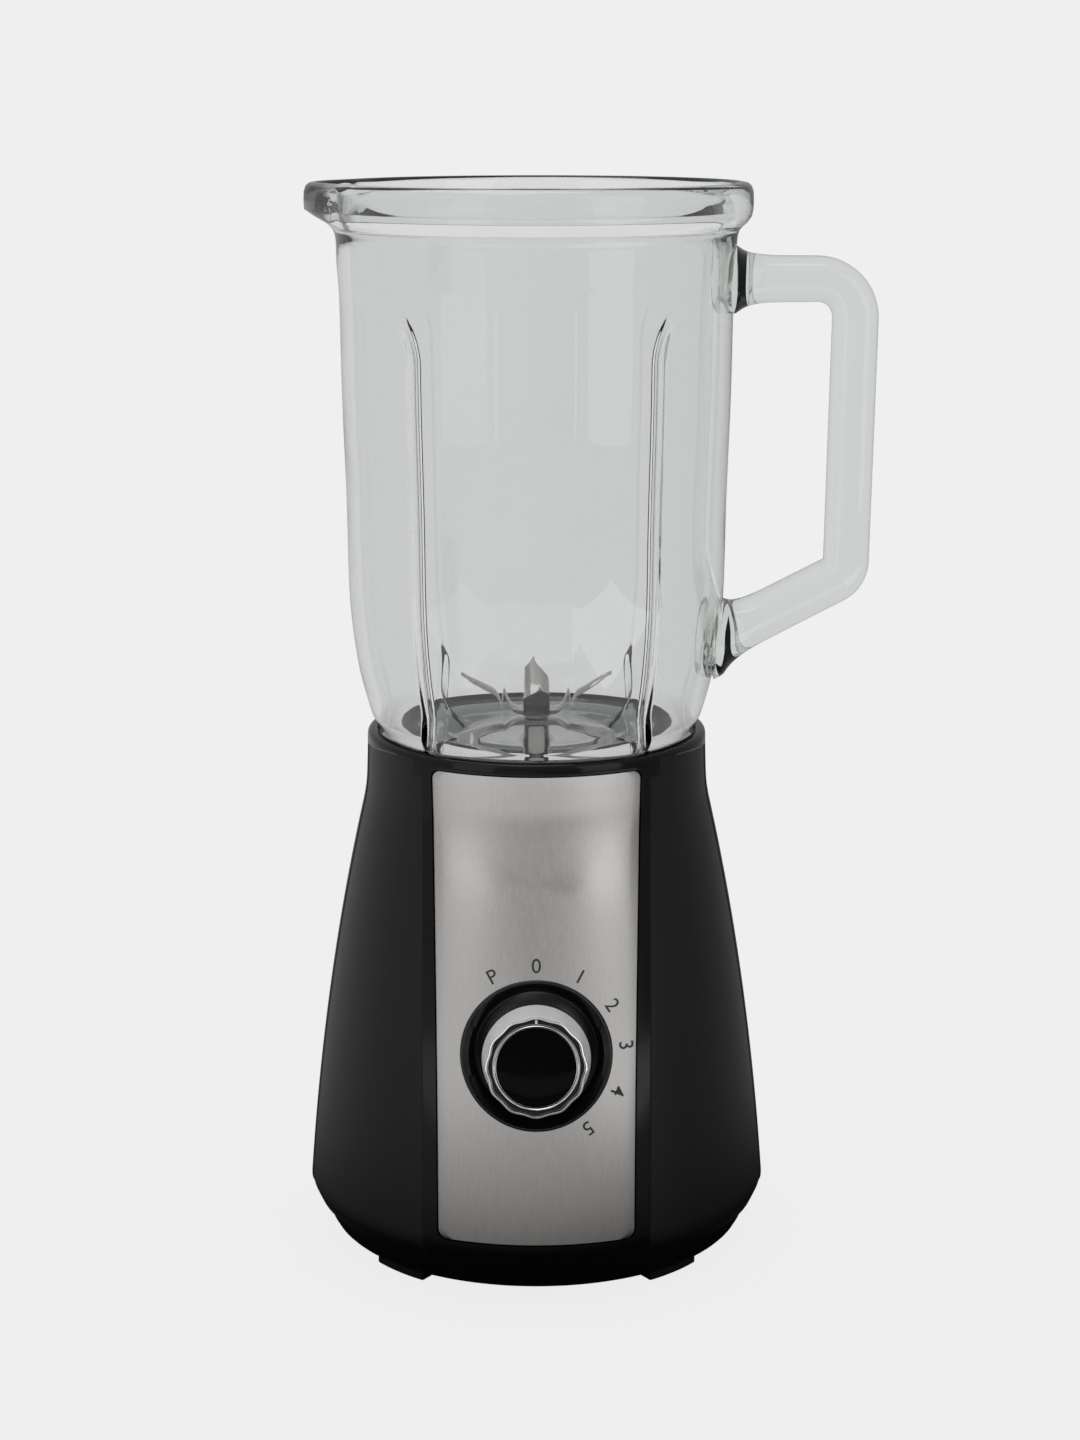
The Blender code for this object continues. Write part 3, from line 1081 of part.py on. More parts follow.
def knob():
    """Speed knob: chrome body, black face ring, thin chrome ring, gloss cap and pointer."""
    low = -BEZEL_DEPTH + KNOB_STEM_LIFT
    face = KNOB_REACH - KNOB_FACE_DEPTH
    hub_bore = SPINDLE_RADIUS + GAP
    stem = KNOB_RADIUS - KNOB_STEM_INSET
    hub_wall = SWITCH_NUT_RADIUS + 2 * GAP
    nut_top = -BEZEL_DEPTH + SWITCH_NUT_HEIGHT + SWITCH_NUT_ROOM
    inner = stem - KNOB_STEM_WALL
    rings = [knob_ring_points(*row) for row in (
        (KNOB_FACE_RADIUS - GAP, KNOB_REACH - GAP, 1), (KNOB_FACE_RADIUS, KNOB_REACH - 4 * GAP, 1),
        ((KNOB_RADIUS + KNOB_FACE_RADIUS) / 2, KNOB_REACH * 0.55, 0.6),
        (KNOB_RADIUS, KNOB_SKIRT), (stem, KNOB_SKIRT - 0.0008), (stem, low), (inner, low),
        (inner, nut_top), (hub_wall, nut_top), (hub_bore, nut_top + 0.0006), (hub_bore, face),
        (KNOB_FACE_RADIUS - KNOB_WALL, face, 1), (KNOB_FACE_RADIUS - KNOB_WALL, KNOB_REACH - GAP, 1))]
    part("knob_body", lofted(rings, closed=True), CHROME, KNOB_AXIS)
    edge = KNOB_FACE_RADIUS - KNOB_WALL - GAP
    outline = [(x, y) for x, y, _ in knob_ring_points(edge, 0, 1)]
    inner = KNOB_RING_RADIUS + GAP
    face_ring = part("knob_face", prism([outline, circle(inner, 32)], face + GAP, KNOB_REACH - 0.0005),
                     BLACK_PLASTIC, KNOB_AXIS)
    half = POINTER_WIDTH / 2
    slot = block((-half - GAP, KNOB_RING_RADIUS - EPS, KNOB_REACH - POINTER_HEIGHT - GAP),
                 (half + GAP, edge + EPS, KNOB_REACH + EPS))
    shape_with(face_ring, "DIFFERENCE", slot, parent=KNOB_AXIS)
    low_end, high_end = inner + RUNNING, edge - SCALLOP_DEPTH - RUNNING
    tick = block((-half, low_end, KNOB_REACH - POINTER_HEIGHT), (half, high_end, KNOB_REACH))
    part("knob_pointer", tick, CHROME, KNOB_AXIS)
    ring = tube(KNOB_RING_RADIUS - KNOB_RING_WIDTH, KNOB_RING_RADIUS, face + GAP, KNOB_REACH, 32)
    part("knob_ring", ring, CHROME, KNOB_AXIS)
    cap = KNOB_RING_RADIUS - KNOB_RING_WIDTH - GAP
    dome = turned([(0, KNOB_REACH), (cap * 0.7, KNOB_REACH - 0.0001), (cap - 0.0004, KNOB_REACH - 0.0004),
                   (cap, KNOB_REACH - 0.0009), (cap, face + GAP), (0, face + GAP)], 32)
    part("knob_cap", dome, GLOSS_BLACK, KNOB_AXIS)
    spindle = rod(SPINDLE_RADIUS, -BEZEL_DEPTH - BEZEL_WALL - SWITCH_DEPTH * 0.8, face - GAP)
    part("switch_spindle", spindle, SHAFT_STEEL, KNOB_AXIS)


base_housing()
front_panel()
dial_bezel()
bottom_cover()
feet()
cover_screws()
cord_inlet()
motor_mounting()
motor_brackets()
bearings()
stator()
brushes()
rotor()
jug_seat()
glass_jug()
hub()
blade()
rotary_switch()
knob()
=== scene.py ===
"""Looks of the countertop blender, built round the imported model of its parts."""
import json
import math

import bmesh
import bpy
from mathutils import Matrix, Vector


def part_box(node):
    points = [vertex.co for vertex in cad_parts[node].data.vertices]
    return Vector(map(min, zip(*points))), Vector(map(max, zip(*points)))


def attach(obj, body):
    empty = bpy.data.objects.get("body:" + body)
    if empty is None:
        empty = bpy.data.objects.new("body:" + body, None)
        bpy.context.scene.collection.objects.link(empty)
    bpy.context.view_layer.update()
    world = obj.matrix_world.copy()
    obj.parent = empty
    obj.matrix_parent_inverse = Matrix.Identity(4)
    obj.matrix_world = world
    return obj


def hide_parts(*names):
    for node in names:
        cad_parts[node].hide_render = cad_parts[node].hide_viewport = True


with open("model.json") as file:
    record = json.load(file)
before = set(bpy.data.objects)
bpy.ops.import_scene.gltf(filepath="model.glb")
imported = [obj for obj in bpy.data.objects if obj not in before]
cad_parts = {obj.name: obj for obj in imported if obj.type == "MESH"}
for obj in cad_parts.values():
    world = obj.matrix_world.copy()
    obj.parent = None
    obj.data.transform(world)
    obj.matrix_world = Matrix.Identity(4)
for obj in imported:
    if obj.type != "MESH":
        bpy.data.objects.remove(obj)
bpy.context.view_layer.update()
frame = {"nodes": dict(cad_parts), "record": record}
scene = bpy.context.scene

# ---- Camera and studio ------------------------------------------------------------------------
# A pale table in an even white room, with a soft light box on each side of the camera, one
# overhead, and three white cards on the table that show only in the steel and the chrome.
low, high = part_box("rotor_shaft")
AXIS = Vector(((low.x + high.x) / 2, (low.y + high.y) / 2, 0))
PALE, CONTACT_SHADE = (0.863, 0.863, 0.863, 1), (0.82, 0.82, 0.82, 1)
ROOM_LEVELS = (0.0, 0.10), (0.47, 0.30), (0.51, 0.38), (0.60, 0.44), (0.75, 0.52), (1.0, 0.6)
TABLE_LEVELS = (0.0, 0.015), (0.028, 0.02), (0.060, 0.40), (0.10, 0.44), (0.75, 0.42)
TABLE_HALF, TABLE_FADE = 9, 4

camera = bpy.data.objects.new("camera", bpy.data.cameras.new("camera"))
camera.data.lens = 70
camera.data.sensor_width = 36
camera.location = AXIS + Vector((0.0012, -0.948, 0.3975))
camera.rotation_euler = (math.radians(77.3), 0, 0)
scene.collection.objects.link(camera)
scene.camera = camera
scene.view_settings.view_transform = "Standard"


def plug(tree, made, inputs):
    """Give each named socket of a node its link or its value."""
    for socket, value in inputs.items():
        if isinstance(value, bpy.types.NodeSocket):
            tree.links.new(value, made.inputs[socket])
        else:
            made.inputs[socket].default_value = value


def node(tree, kind, inputs=None, **settings):
    """New shader node, with its own settings made before its sockets are plugged."""
    made = tree.nodes.new("ShaderNode" + kind)
    for setting, value in settings.items():
        setattr(made, setting, value)
    plug(tree, made, inputs or {})
    return made


def seen_directly(tree):
    """Node value that is 1 for what is looked at, also through the glass, and 0 for reflections."""
    path = node(tree, "LightPath").outputs
    return node(tree, "Math", {0: path["Is Camera Ray"], 1: path["Is Transmission Ray"]},
                operation="MAXIMUM").outputs[0]


def graded(tree, value, stops):
    """Grey ramp over a node value, from (position, brightness) stops."""
    ramp = node(tree, "ValToRGB", {0: value})
    elements = ramp.color_ramp.elements
    while len(elements) < len(stops):
        elements.new(0.5)
    for element, (position, level) in zip(elements, stops):
        element.position = position
        element.color = (level, level, level, 1)
    return ramp.outputs["Color"]


room = bpy.data.worlds.new("room")
room.use_nodes = True
scene.world = room
tree = room.node_tree
aim = node(tree, "SeparateXYZ", {0: node(tree, "TexCoord").outputs["Generated"]}).outputs
height = node(tree, "MapRange", {"Value": aim["Z"], "From Min": -1})
sideways = node(tree, "MapRange", {"Value": aim["X"], "From Min": -1, "To Min": 1.10, "To Max": 0.70})
walls = node(tree, "VectorMath", {0: graded(tree, height.outputs[0], ROOM_LEVELS),
                                  "Scale": sideways.outputs[0]}, operation="SCALE")
choice = node(tree, "Mix", {"A": walls.outputs[0], "B": PALE, "Factor": seen_directly(tree)},
              data_type="RGBA")
plug(tree, tree.nodes["Background"], {"Color": choice.outputs["Result"]})

table_top = bpy.data.meshes.new("table_top")
table_top.from_pydata([(x * TABLE_HALF, y * TABLE_HALF, 0) for x, y in ((-1, -1), (1, -1), (1, 1), (-1, 1))],
                      [], [(0, 1, 2, 3)])
table_paint = bpy.data.materials.new("table_paint")
table_paint.use_nodes = True
tree = table_paint.node_tree
tree.nodes.remove(tree.nodes["Principled BSDF"])
spot = node(tree, "TexCoord").outputs["Object"]
reach = node(tree, "VectorMath", {0: spot}, operation="LENGTH").outputs["Value"]
outwards = node(tree, "MapRange", {"Value": reach, "From Max": TABLE_FADE})
sideways = node(tree, "MapRange", {"Value": node(tree, "SeparateXYZ", {0: spot}).outputs["X"],
                                   "From Min": -0.5, "From Max": 0.5, "To Min": 1.15, "To Max": 0.55})
uneven = node(tree, "VectorMath", {0: graded(tree, outwards.outputs[0], TABLE_LEVELS),
                                   "Scale": sideways.outputs[0]}, operation="SCALE")
# The ambient occlusion node darkens the table round the base: a painted contact shadow, seen directly and
# through the glass.
contact = node(tree, "AmbientOcclusion", {"Distance": 0.05}).outputs["AO"]
shade = node(tree, "Mix", {"A": CONTACT_SHADE, "B": PALE, "Factor": contact}, data_type="RGBA")
seen = node(tree, "Mix", {"A": uneven.outputs[0], "B": shade.outputs["Result"],
                          "Factor": seen_directly(tree)}, data_type="RGBA")
glow = node(tree, "Emission", {"Color": seen.outputs["Result"]})
plug(tree, tree.nodes["Material Output"], {"Surface": glow.outputs[0]})
table_top.materials.append(table_paint)
table = bpy.data.objects.new("table", table_top)
scene.collection.objects.link(table)


def light_box(name, place, target, width, length, radiance):
    """Soft rectangular light that shines from a place towards a point."""
    data = bpy.data.lights.new(name, "AREA")
    data.shape = "RECTANGLE"
    data.size, data.size_y = width, length
    data.energy = radiance * math.pi * width * length
    lamp = bpy.data.objects.new(name, data)
    lamp.location = place
    lamp.rotation_euler = (Vector(target) - Vector(place)).to_track_quat("-Z", "Y").to_euler()
    lamp.visible_camera = False
    lamp.visible_transmission = False
    scene.collection.objects.link(lamp)


light_box("box_left", (-0.95, -1.05, 0.62), (0, 0, 0.25), 0.75, 1.25, 0.50)
light_box("box_right", (0.95, -1.05, 0.62), (0, 0, 0.25), 0.75, 1.25, 0.85)
light_box("box_top", (-0.25, -0.15, 1.5), (0, 0, 0.2), 1.2, 0.9, 1.6)
for side, name, radiance in ((-1, "card_left", 0.6), (1, "card_right", 1.3)):
    spot = AXIS + Vector((side * 0.60, -0.62, 0.001))
    light_box(name, spot, spot + Vector((0, 0, 1)), 0.62, 0.62, radiance)
middle = AXIS + Vector((0, -0.80, 0.001))
light_box("card_middle", middle, middle + Vector((0, 0, 1)), 0.60, 0.55, 0.55)

# ---- Base housing -----------------------------------------------------------------------------
# Injection moulded ABS in one piece: satin side faces, a raised glossy spine down the front and a
# glossy collar for the jug.  A fine joint behind each side face parts front from rear.
BASE_RADIUS, CREASE_Z, SKIRT_Z = 0.0805, 0.020, 0.0140
NECK_Z, NECK_RADIUS, NECK_EASING = 0.161, 0.0592, 0.0040
BEND_LEVEL, BEND_REACH = 0.53, 0.735   # control point of the flank's curve, as shares of the way
COLLAR_RADIUS, COLLAR_TOP_Z, COLLAR_BORE = 0.0585, 0.1825, 0.0548
DECK_Z, DECK_UNDERSIDE_Z, DECK_BORE = 0.1495, 0.1460, 0.0105
SHELL_WALL = 0.0030
SPINE_HALF_WIDTH, SPINE_RAISE = 0.0375, 0.0007
COLUMN_RADIUS = 0.070   # where the columns' azimuths are measured
FACE_TOP_Z, FACE_CORNER, FACE_DROP = 0.1797, 0.0055, 0.0030
JOINT_TURN = math.radians(82.5)
FACE_SINK = 0.0004


def shell_radius(z):
    """Outside radius of the housing at a level."""
    if z >= NECK_Z:
        fade = (COLLAR_TOP_Z - z) / (COLLAR_TOP_Z - NECK_Z)
        return COLLAR_RADIUS + 0.0007 * fade * fade
    bend_z = CREASE_Z + BEND_LEVEL * (NECK_Z - CREASE_Z)
    bend = NECK_RADIUS + BEND_REACH * (BASE_RADIUS - NECK_RADIUS)
    curve, slope, drop = NECK_Z - 2 * bend_z + CREASE_Z, 2 * (NECK_Z - bend_z), NECK_Z - z
    t = 2 * drop / (slope + math.sqrt(slope * slope - 4 * curve * drop))
    return (1 - t) ** 2 * NECK_RADIUS + 2 * t * (1 - t) * bend + t * t * BASE_RADIUS


def eased(value, start, end):
    """0 before start, 1 after end, smooth between."""
    share = min(max((value - start) / (end - start), 0.0), 1.0)
    return share * share * (3 - 2 * share)


def neck_rounded(z):
    """Outside radius with the neck's bend eased over a few millimetres."""
    if abs(z - NECK_Z) >= 3 * NECK_EASING:
        return shell_radius(z)
    return sum(shell_radius(min(z + NECK_EASING * k / 3, COLLAR_TOP_Z)) for k in range(-3, 4)) / 7


def face_top(turn):
    """Level at which a side face ends under the collar, with a rounded corner at the spine."""
    reach = max((turn * COLLAR_RADIUS) - SPINE_HALF_WIDTH * 1.17, 0.0)
    droop = FACE_CORNER - math.sqrt(FACE_CORNER ** 2 - max(FACE_CORNER - reach, 0.0) ** 2)
    return FACE_TOP_Z - FACE_DROP * eased(turn, math.radians(50), math.radians(95)) - droop


def shell_turns():
    """Azimuths of the housing's columns on one side, from the front to the rear."""
    spine = math.asin(SPINE_HALF_WIDTH / COLUMN_RADIUS)
    turns = [spine * i / 14 for i in range(14)]
    turns += [spine + d / COLUMN_RADIUS for d in (-0.0004, 0.0, 0.0004, 0.0010)]
    first, last = turns[-1], JOINT_TURN - 0.0010
    turns += [first + (last - first) * i / 34 for i in range(1, 34)]
    turns += [JOINT_TURN + d / COLUMN_RADIUS for d in (-0.0007, -0.0003, 0.0, 0.0003, 0.0007)]
    turns += [turns[-1] + (math.pi - turns[-1]) * i / 30 for i in range(1, 31)]
    return turns


def side_turn(turn, radius):
    """Column azimuth at a radius, so that the spine keeps its width all the way up."""
    spine = math.asin(SPINE_HALF_WIDTH / COLUMN_RADIUS)
    here = math.asin(SPINE_HALF_WIDTH / radius)
    if turn <= spine:
        return turn * here / spine
    fade = eased(turn, spine, JOINT_TURN * 0.9)
    return turn + (here - spine) * (1 - fade)


def shell_point(turn, side, z, inset=0.0):
    """Point on the outside of the housing, with the spine, the side faces and the joint."""
    radius = neck_rounded(z)
    angle = side_turn(turn, radius)
    spine = math.asin(SPINE_HALF_WIDTH / radius)
    to_spine = (angle - spine) * radius
    raise_by = SPINE_RAISE * (1 - eased(to_spine, 0.0, 0.0008))
    if to_spine > 0:
        above = eased(z, face_top(turn) - 0.0003, face_top(turn) + 0.0003)
        raise_by -= FACE_SINK * (1 - above) * eased(to_spine, 0.0, 0.0008) * (
            1 - eased(angle, JOINT_TURN - 0.010, JOINT_TURN - 0.004))
    raise_by -= 0.0006 * max(0.0, 1 - abs(turn - JOINT_TURN) * COLUMN_RADIUS / 0.0005) * (1 - eased(
        z, COLLAR_TOP_Z - 0.004, COLLAR_TOP_Z - 0.002))
    reach = radius + raise_by - inset
    return Vector((side * reach * math.sin(angle), -reach * math.cos(angle), z))


def ring_of(make):
    """Closed ring of points round the drive axis from a function of azimuth and side."""
    turns = shell_turns()
    return [make(turn, 1) for turn in turns] + [make(turn, -1) for turn in reversed(turns[1:-1])]


def skinned(name, rings, closed=False, smooth_angle=30):
    """Mesh through rings of points; closed joins the last ring to the first."""
    body = bmesh.new()
    loops = [[body.verts.new(point) for point in ring] for ring in rings]
    pairs = list(zip(loops, loops[1:])) + ([(loops[-1], loops[0])] if closed else [])
    for near, far in pairs:
        for i in range(len(near)):
            j = (i + 1) % len(near)
            body.faces.new((near[i], near[j], far[j], far[i]))
    if not closed:
        body.faces.new(loops[0])
        body.faces.new(loops[-1])
    return finished(name, body, smooth_angle)


def finished(name, body, smooth_angle=30):
    """Mesh from a bmesh body, welded, facing out, smooth between its hard edges."""
    bmesh.ops.remove_doubles(body, verts=body.verts, dist=1e-7)
    bmesh.ops.recalc_face_normals(body, faces=body.faces)
    if body.calc_volume(signed=True) < 0:
        bmesh.ops.reverse_faces(body, faces=body.faces)
    mesh = bpy.data.meshes.new(name)
    body.to_mesh(mesh)
    body.free()
    return smoothed(mesh, smooth_angle)


def smoothed(mesh, degrees):
    """The same mesh, shaded smooth between its hard edges."""
    mesh.shade_smooth()
    mesh.set_sharp_from_angle(angle=math.radians(degrees))
    return mesh


def piece(name, mesh, body, slot, nodes, *finishes):
    """Visible piece, made about the drive axis, that rides on a body and stands for CAD nodes."""
    mesh.transform(Matrix.Translation(AXIS))
    made = bpy.data.objects.new(name, mesh)
    if mesh.materials:
        mesh.materials.clear()
    for finish in finishes:
        mesh.materials.append(finish)
    scene.collection.objects.link(made)
    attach(made, body)
    if nodes:
        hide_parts(*nodes)
    return made


def shaped(target, operation, tool_mesh):
    """Cut a tool from a mesh, or fuse it on, and return the new mesh."""
    stock = bpy.data.objects.new("stock", target)
    tool = bpy.data.objects.new("tool", tool_mesh)
    for item in (stock, tool):
        scene.collection.objects.link(item)
    step = stock.modifiers.new("step", "BOOLEAN")
    step.operation, step.object, step.solver = operation, tool, "EXACT"
    bpy.context.view_layer.update()
    result = bpy.data.meshes.new_from_object(stock.evaluated_get(bpy.context.evaluated_depsgraph_get()))
    result.name = target.name
    bpy.data.objects.remove(stock)
    bpy.data.objects.remove(tool)
    return result


def turned(name, outline, sides=96, smooth_angle=30):
    """Turned mesh about Z from (radius, height) points, from axis to axis or as a closed loop."""
    rings = []
    for radius, z in outline:
        rings.append([Vector((max(radius, 0) * math.cos(math.tau * i / sides),
                              max(radius, 0) * math.sin(math.tau * i / sides), z)) for i in range(sides)])
    if outline[0][0] > 0:
        return skinned(name, rings, True, smooth_angle)
    body = bmesh.new()
    loops = [[body.verts.new(point) for point in ring] for ring in rings[1:-1]]
    for near, far in zip(loops, loops[1:]):
        for i in range(sides):
            j = (i + 1) % sides
            body.faces.new((near[i], near[j], far[j], far[i]))
    for loop, (_, z) in ((loops[0], outline[0]), (loops[-1], outline[-1])):
        tip = body.verts.new((0, 0, z))
        for i in range(sides):
            body.faces.new((tip, loop[i], loop[(i + 1) % sides]))
    return finished(name, body, smooth_angle)


def finish_of(name, colour, roughness, metallic=0.0, spread=0.05, grain=900, stretch=(1, 1, 1),
              relief=0.00002, tone=0.12, **sockets):
    """Finish with a fine grain: roughness, tone and relief all follow one noise pattern."""
    made = bpy.data.materials.new(name)
    made.use_nodes = True
    tree = made.node_tree
    along = node(tree, "Mapping", {0: node(tree, "TexCoord").outputs["Object"], "Scale": stretch})
    pattern = node(tree, "TexNoise", {"Vector": along.outputs[0], "Scale": grain, "Detail": 4}).outputs["Fac"]
    rough = node(tree, "MapRange", {"Value": pattern, "To Min": roughness - spread,
                                    "To Max": roughness + spread})
    ramp = node(tree, "ValToRGB", {0: pattern})
    for element, position, share in zip(ramp.color_ramp.elements, (0.3, 0.7), (1 - tone, 1 + tone)):
        element.position = position
        element.color = (*(min(c * share, 1) for c in colour), 1)
    bump = node(tree, "Bump", {"Height": pattern, "Strength": 0.6, "Distance": relief})
    plug(tree, tree.nodes["Principled BSDF"], {
        "Metallic": metallic, "Roughness": rough.outputs[0], "Base Color": ramp.outputs["Color"],
        "Normal": bump.outputs["Normal"], **{key.replace("_", " "): value for key, value in sockets.items()}})
    return made


SATIN_ABS = finish_of("satin_abs", (0.0035, 0.0035, 0.0036), 0.42, spread=0.05, grain=2200,
                      relief=0.00003, Specular_IOR_Level=0.33)
GLOSS_ABS = finish_of("gloss_abs", (0.0022, 0.0022, 0.0022), 0.12, spread=0.03, grain=160,
                      relief=0.000002, Specular_IOR_Level=0.28)


def housing_mesh():
    """Outside, collar, deck and inside of the housing in one closed skin."""
    rings = []
    steps = 44
    for i in range(steps):
        share = i / (steps - 1)
        rings.append(ring_of(lambda turn, side: shell_point(
            turn, side, CREASE_Z + (face_top(turn) - 0.0010 - CREASE_Z) * share)))
    for rise in (-0.0006, -0.0003, 0.0, 0.0003, 0.0006):
        rings.append(ring_of(lambda turn, side: shell_point(turn, side, face_top(turn) + rise)))
    for drop, inset in ((0.0021, 0.0), (0.0015, 0.00015), (0.0010, 0.0004), (0.0006, 0.0008),
                        (0.0003, 0.00125), (0.0001, 0.0018), (0.0, 0.0024)):
        rings.append(ring_of(lambda turn, side: shell_point(
            turn, side, max(COLLAR_TOP_Z - drop, face_top(turn) + 0.0007), inset)))

    def level(radius, z):
        rings.append(ring_of(lambda turn, side: Vector((
            side * radius * math.sin(turn), -radius * math.cos(turn), z))))

    for radius, z in ((COLLAR_BORE + 0.0004, COLLAR_TOP_Z), (COLLAR_BORE, COLLAR_TOP_Z - 0.0004),
                      (COLLAR_BORE, DECK_Z), (DECK_BORE, DECK_Z), (DECK_BORE, DECK_UNDERSIDE_Z)):
        level(radius, z)
    for i in range(12):
        z = DECK_UNDERSIDE_Z + (CREASE_Z - DECK_UNDERSIDE_Z) * i / 11
        level(shell_radius(z) - SHELL_WALL, z)
    level(BASE_RADIUS - 0.0025 - SHELL_WALL, SKIRT_Z)
    for inset, drop in ((0.0030, CREASE_Z - SKIRT_Z), (0.0023, CREASE_Z - SKIRT_Z - 0.0004),
                        (0.0008, 0.0024), (0.0002, 0.0010)):
        rings.append(ring_of(lambda turn, side: (
            shell_point(turn, side, CREASE_Z, inset) - Vector((0, 0, drop)))))
    return skinned("housing", rings, True)


# ---- Front panel ------------------------------------------------------------------------------
# Stainless steel sheet, 0.8 mm, brushed from top to bottom and rolled to the curve of the spine.
# It is held by tabs behind it, and a gap of half a millimetre shows all round.
PANEL_HALF_WIDTH, PANEL_TOP_FLARE = 0.0327, 0.0018
PANEL_BOTTOM_Z, PANEL_TOP_Z, PANEL_CORNER = 0.0235, 0.1777, 0.0030
PANEL_SHEET, PANEL_GAP = 0.0008, 0.0005
knob_joint = next(j for j in frame["record"]["behaviour"]["joints"] if j["name"] == "knob_turn")
DIAL_LEAN = math.radians(8)
DIAL_PLACE = Matrix.Translation(Vector(knob_joint["pos_m"]) - AXIS) @ Matrix.Rotation(
    math.pi / 2 - DIAL_LEAN, 4, "X")
BEZEL_RADIUS = 0.0252


def front_y(x, z, offset=0.0):
    """Where the front of the spine lies at a width and a level."""
    return -math.sqrt((neck_rounded(z) + SPINE_RAISE + offset) ** 2 - x * x)


def panel_half_width(z, grow):
    """Half width of the panel at a level, with its round corners."""
    bottom, top = PANEL_BOTTOM_Z - grow, PANEL_TOP_Z + grow
    share = (z - PANEL_BOTTOM_Z) / (PANEL_TOP_Z - PANEL_BOTTOM_Z)
    edge = min(max(min(z - bottom, top - z), 0.0), PANEL_CORNER)
    width = PANEL_HALF_WIDTH + PANEL_TOP_FLARE * share * share + grow
    return width - PANEL_CORNER + math.sqrt(PANEL_CORNER ** 2 - (PANEL_CORNER - edge) ** 2)


def panel_levels(grow):
    """Levels of the panel's rows, close together at the corners."""
    bottom, top = PANEL_BOTTOM_Z - grow, PANEL_TOP_Z + grow
    corner = [PANEL_CORNER * (1 - math.cos(math.radians(a))) for a in (6, 18, 30, 45, 60, 75, 90)]
    middle = [bottom + PANEL_CORNER + (top - bottom - 2 * PANEL_CORNER) * i / 90 for i in range(1, 90)]
    return [bottom + c for c in corner] + middle + [top - c for c in reversed(corner)]


def panel_mesh(name, grow, front, back, edge=0.0):
    """Curved sheet between two depths from the spine's face, its front edge eased."""
    rings = []
    for z in panel_levels(grow):
        width = panel_half_width(z, grow)
        shares = [k / 20 - 1 for k in range(41)]
        ring = []
        for share in shares:
            ease = edge * eased(abs(share), 1 - 0.0006 / width, 1)
            ring.append(Vector((width * share, front_y(width * share, z, front - ease), z)))
        ring += [Vector((-width * share, front_y(-width * share, z, back), z)) for share in shares]
        rings.append(ring)
    return skinned(name, rings, False, 40)


def on_dial(mesh):
    """Move a mesh from the dial axis to its place about the drive axis."""
    mesh.transform(DIAL_PLACE)
    return mesh


def dial_drill(radius):
    """Round tool along the dial axis, from in front of the panel to behind the dish."""
    front, back = 0.008, -0.018
    return on_dial(turned("drill", [(0, front), (radius, front), (radius, back), (0, back)], 128))


shell = shaped(housing_mesh(), "DIFFERENCE", panel_mesh("pocket", PANEL_GAP, 0.002, -PANEL_SHEET - 0.0006))
shell = shaped(shell, "DIFFERENCE", dial_drill(BEZEL_RADIUS + 0.0002))
shell = smoothed(shell, 30)
for face in shell.polygons:
    centre = face.center
    turn = abs(math.atan2(centre.x, -centre.y))
    skin = shell_radius(min(max(centre.z, CREASE_Z), COLLAR_TOP_Z)) - 0.0016
    outside = math.hypot(centre.x, centre.y) > skin
    side_face = abs(centre.x) > SPINE_HALF_WIDTH + 0.0005 or centre.y > 0
    face.material_index = int(outside and side_face and centre.z < face_top(turn) - 0.0001)
piece("housing", shell, "base", "black_plastic", ["base_housing"], GLOSS_ABS, SATIN_ABS)

BRUSHED_STEEL = finish_of("brushed_steel", (0.56, 0.55, 0.535), 0.36, metallic=1.0, spread=0.07, grain=1500,
                          stretch=(1, 1, 0.06), relief=0.00002, tone=0.05, Anisotropic=0.75)
sheet = panel_mesh("front_panel", 0, -0.0002, -PANEL_SHEET - 0.0002, 0.00025)
sheet = shaped(sheet, "DIFFERENCE", dial_drill(BEZEL_RADIUS + 0.0001))
sheet = smoothed(sheet, 30)
piece("steel_panel", sheet, "base", "brushed_steel_panel", ["front_panel"], BRUSHED_STEEL)

# ---- Dial bezel and its figures ---------------------------------------------------------------
# Glossy black moulded dish round the knob; its lip follows the curve of the panel.  The switch
# positions are printed on the steel round it: a pulse position, off, and five speeds.
BEZEL_FLOOR_RADIUS, BEZEL_DEPTH, BEZEL_WALL = 0.0205, 0.0065, 0.0018
BUSHING_HOLE = 0.0051
FIGURE_CIRCLE, FIGURE_SIZE = 0.0297, 0.0068
POSITIONS = (("P", -29), ("0", 0), ("1", 29), ("2", 57), ("3", 85), ("4", 115), ("5", 145))


def dial_surface(x, y):
    """Height along the dial axis at which the spine's face lies."""
    height = 0.0
    for _ in range(5):
        point = DIAL_PLACE @ Vector((x, y, height))
        height += (point.y - front_y(point.x, point.z)) * math.cos(DIAL_LEAN)
    return height


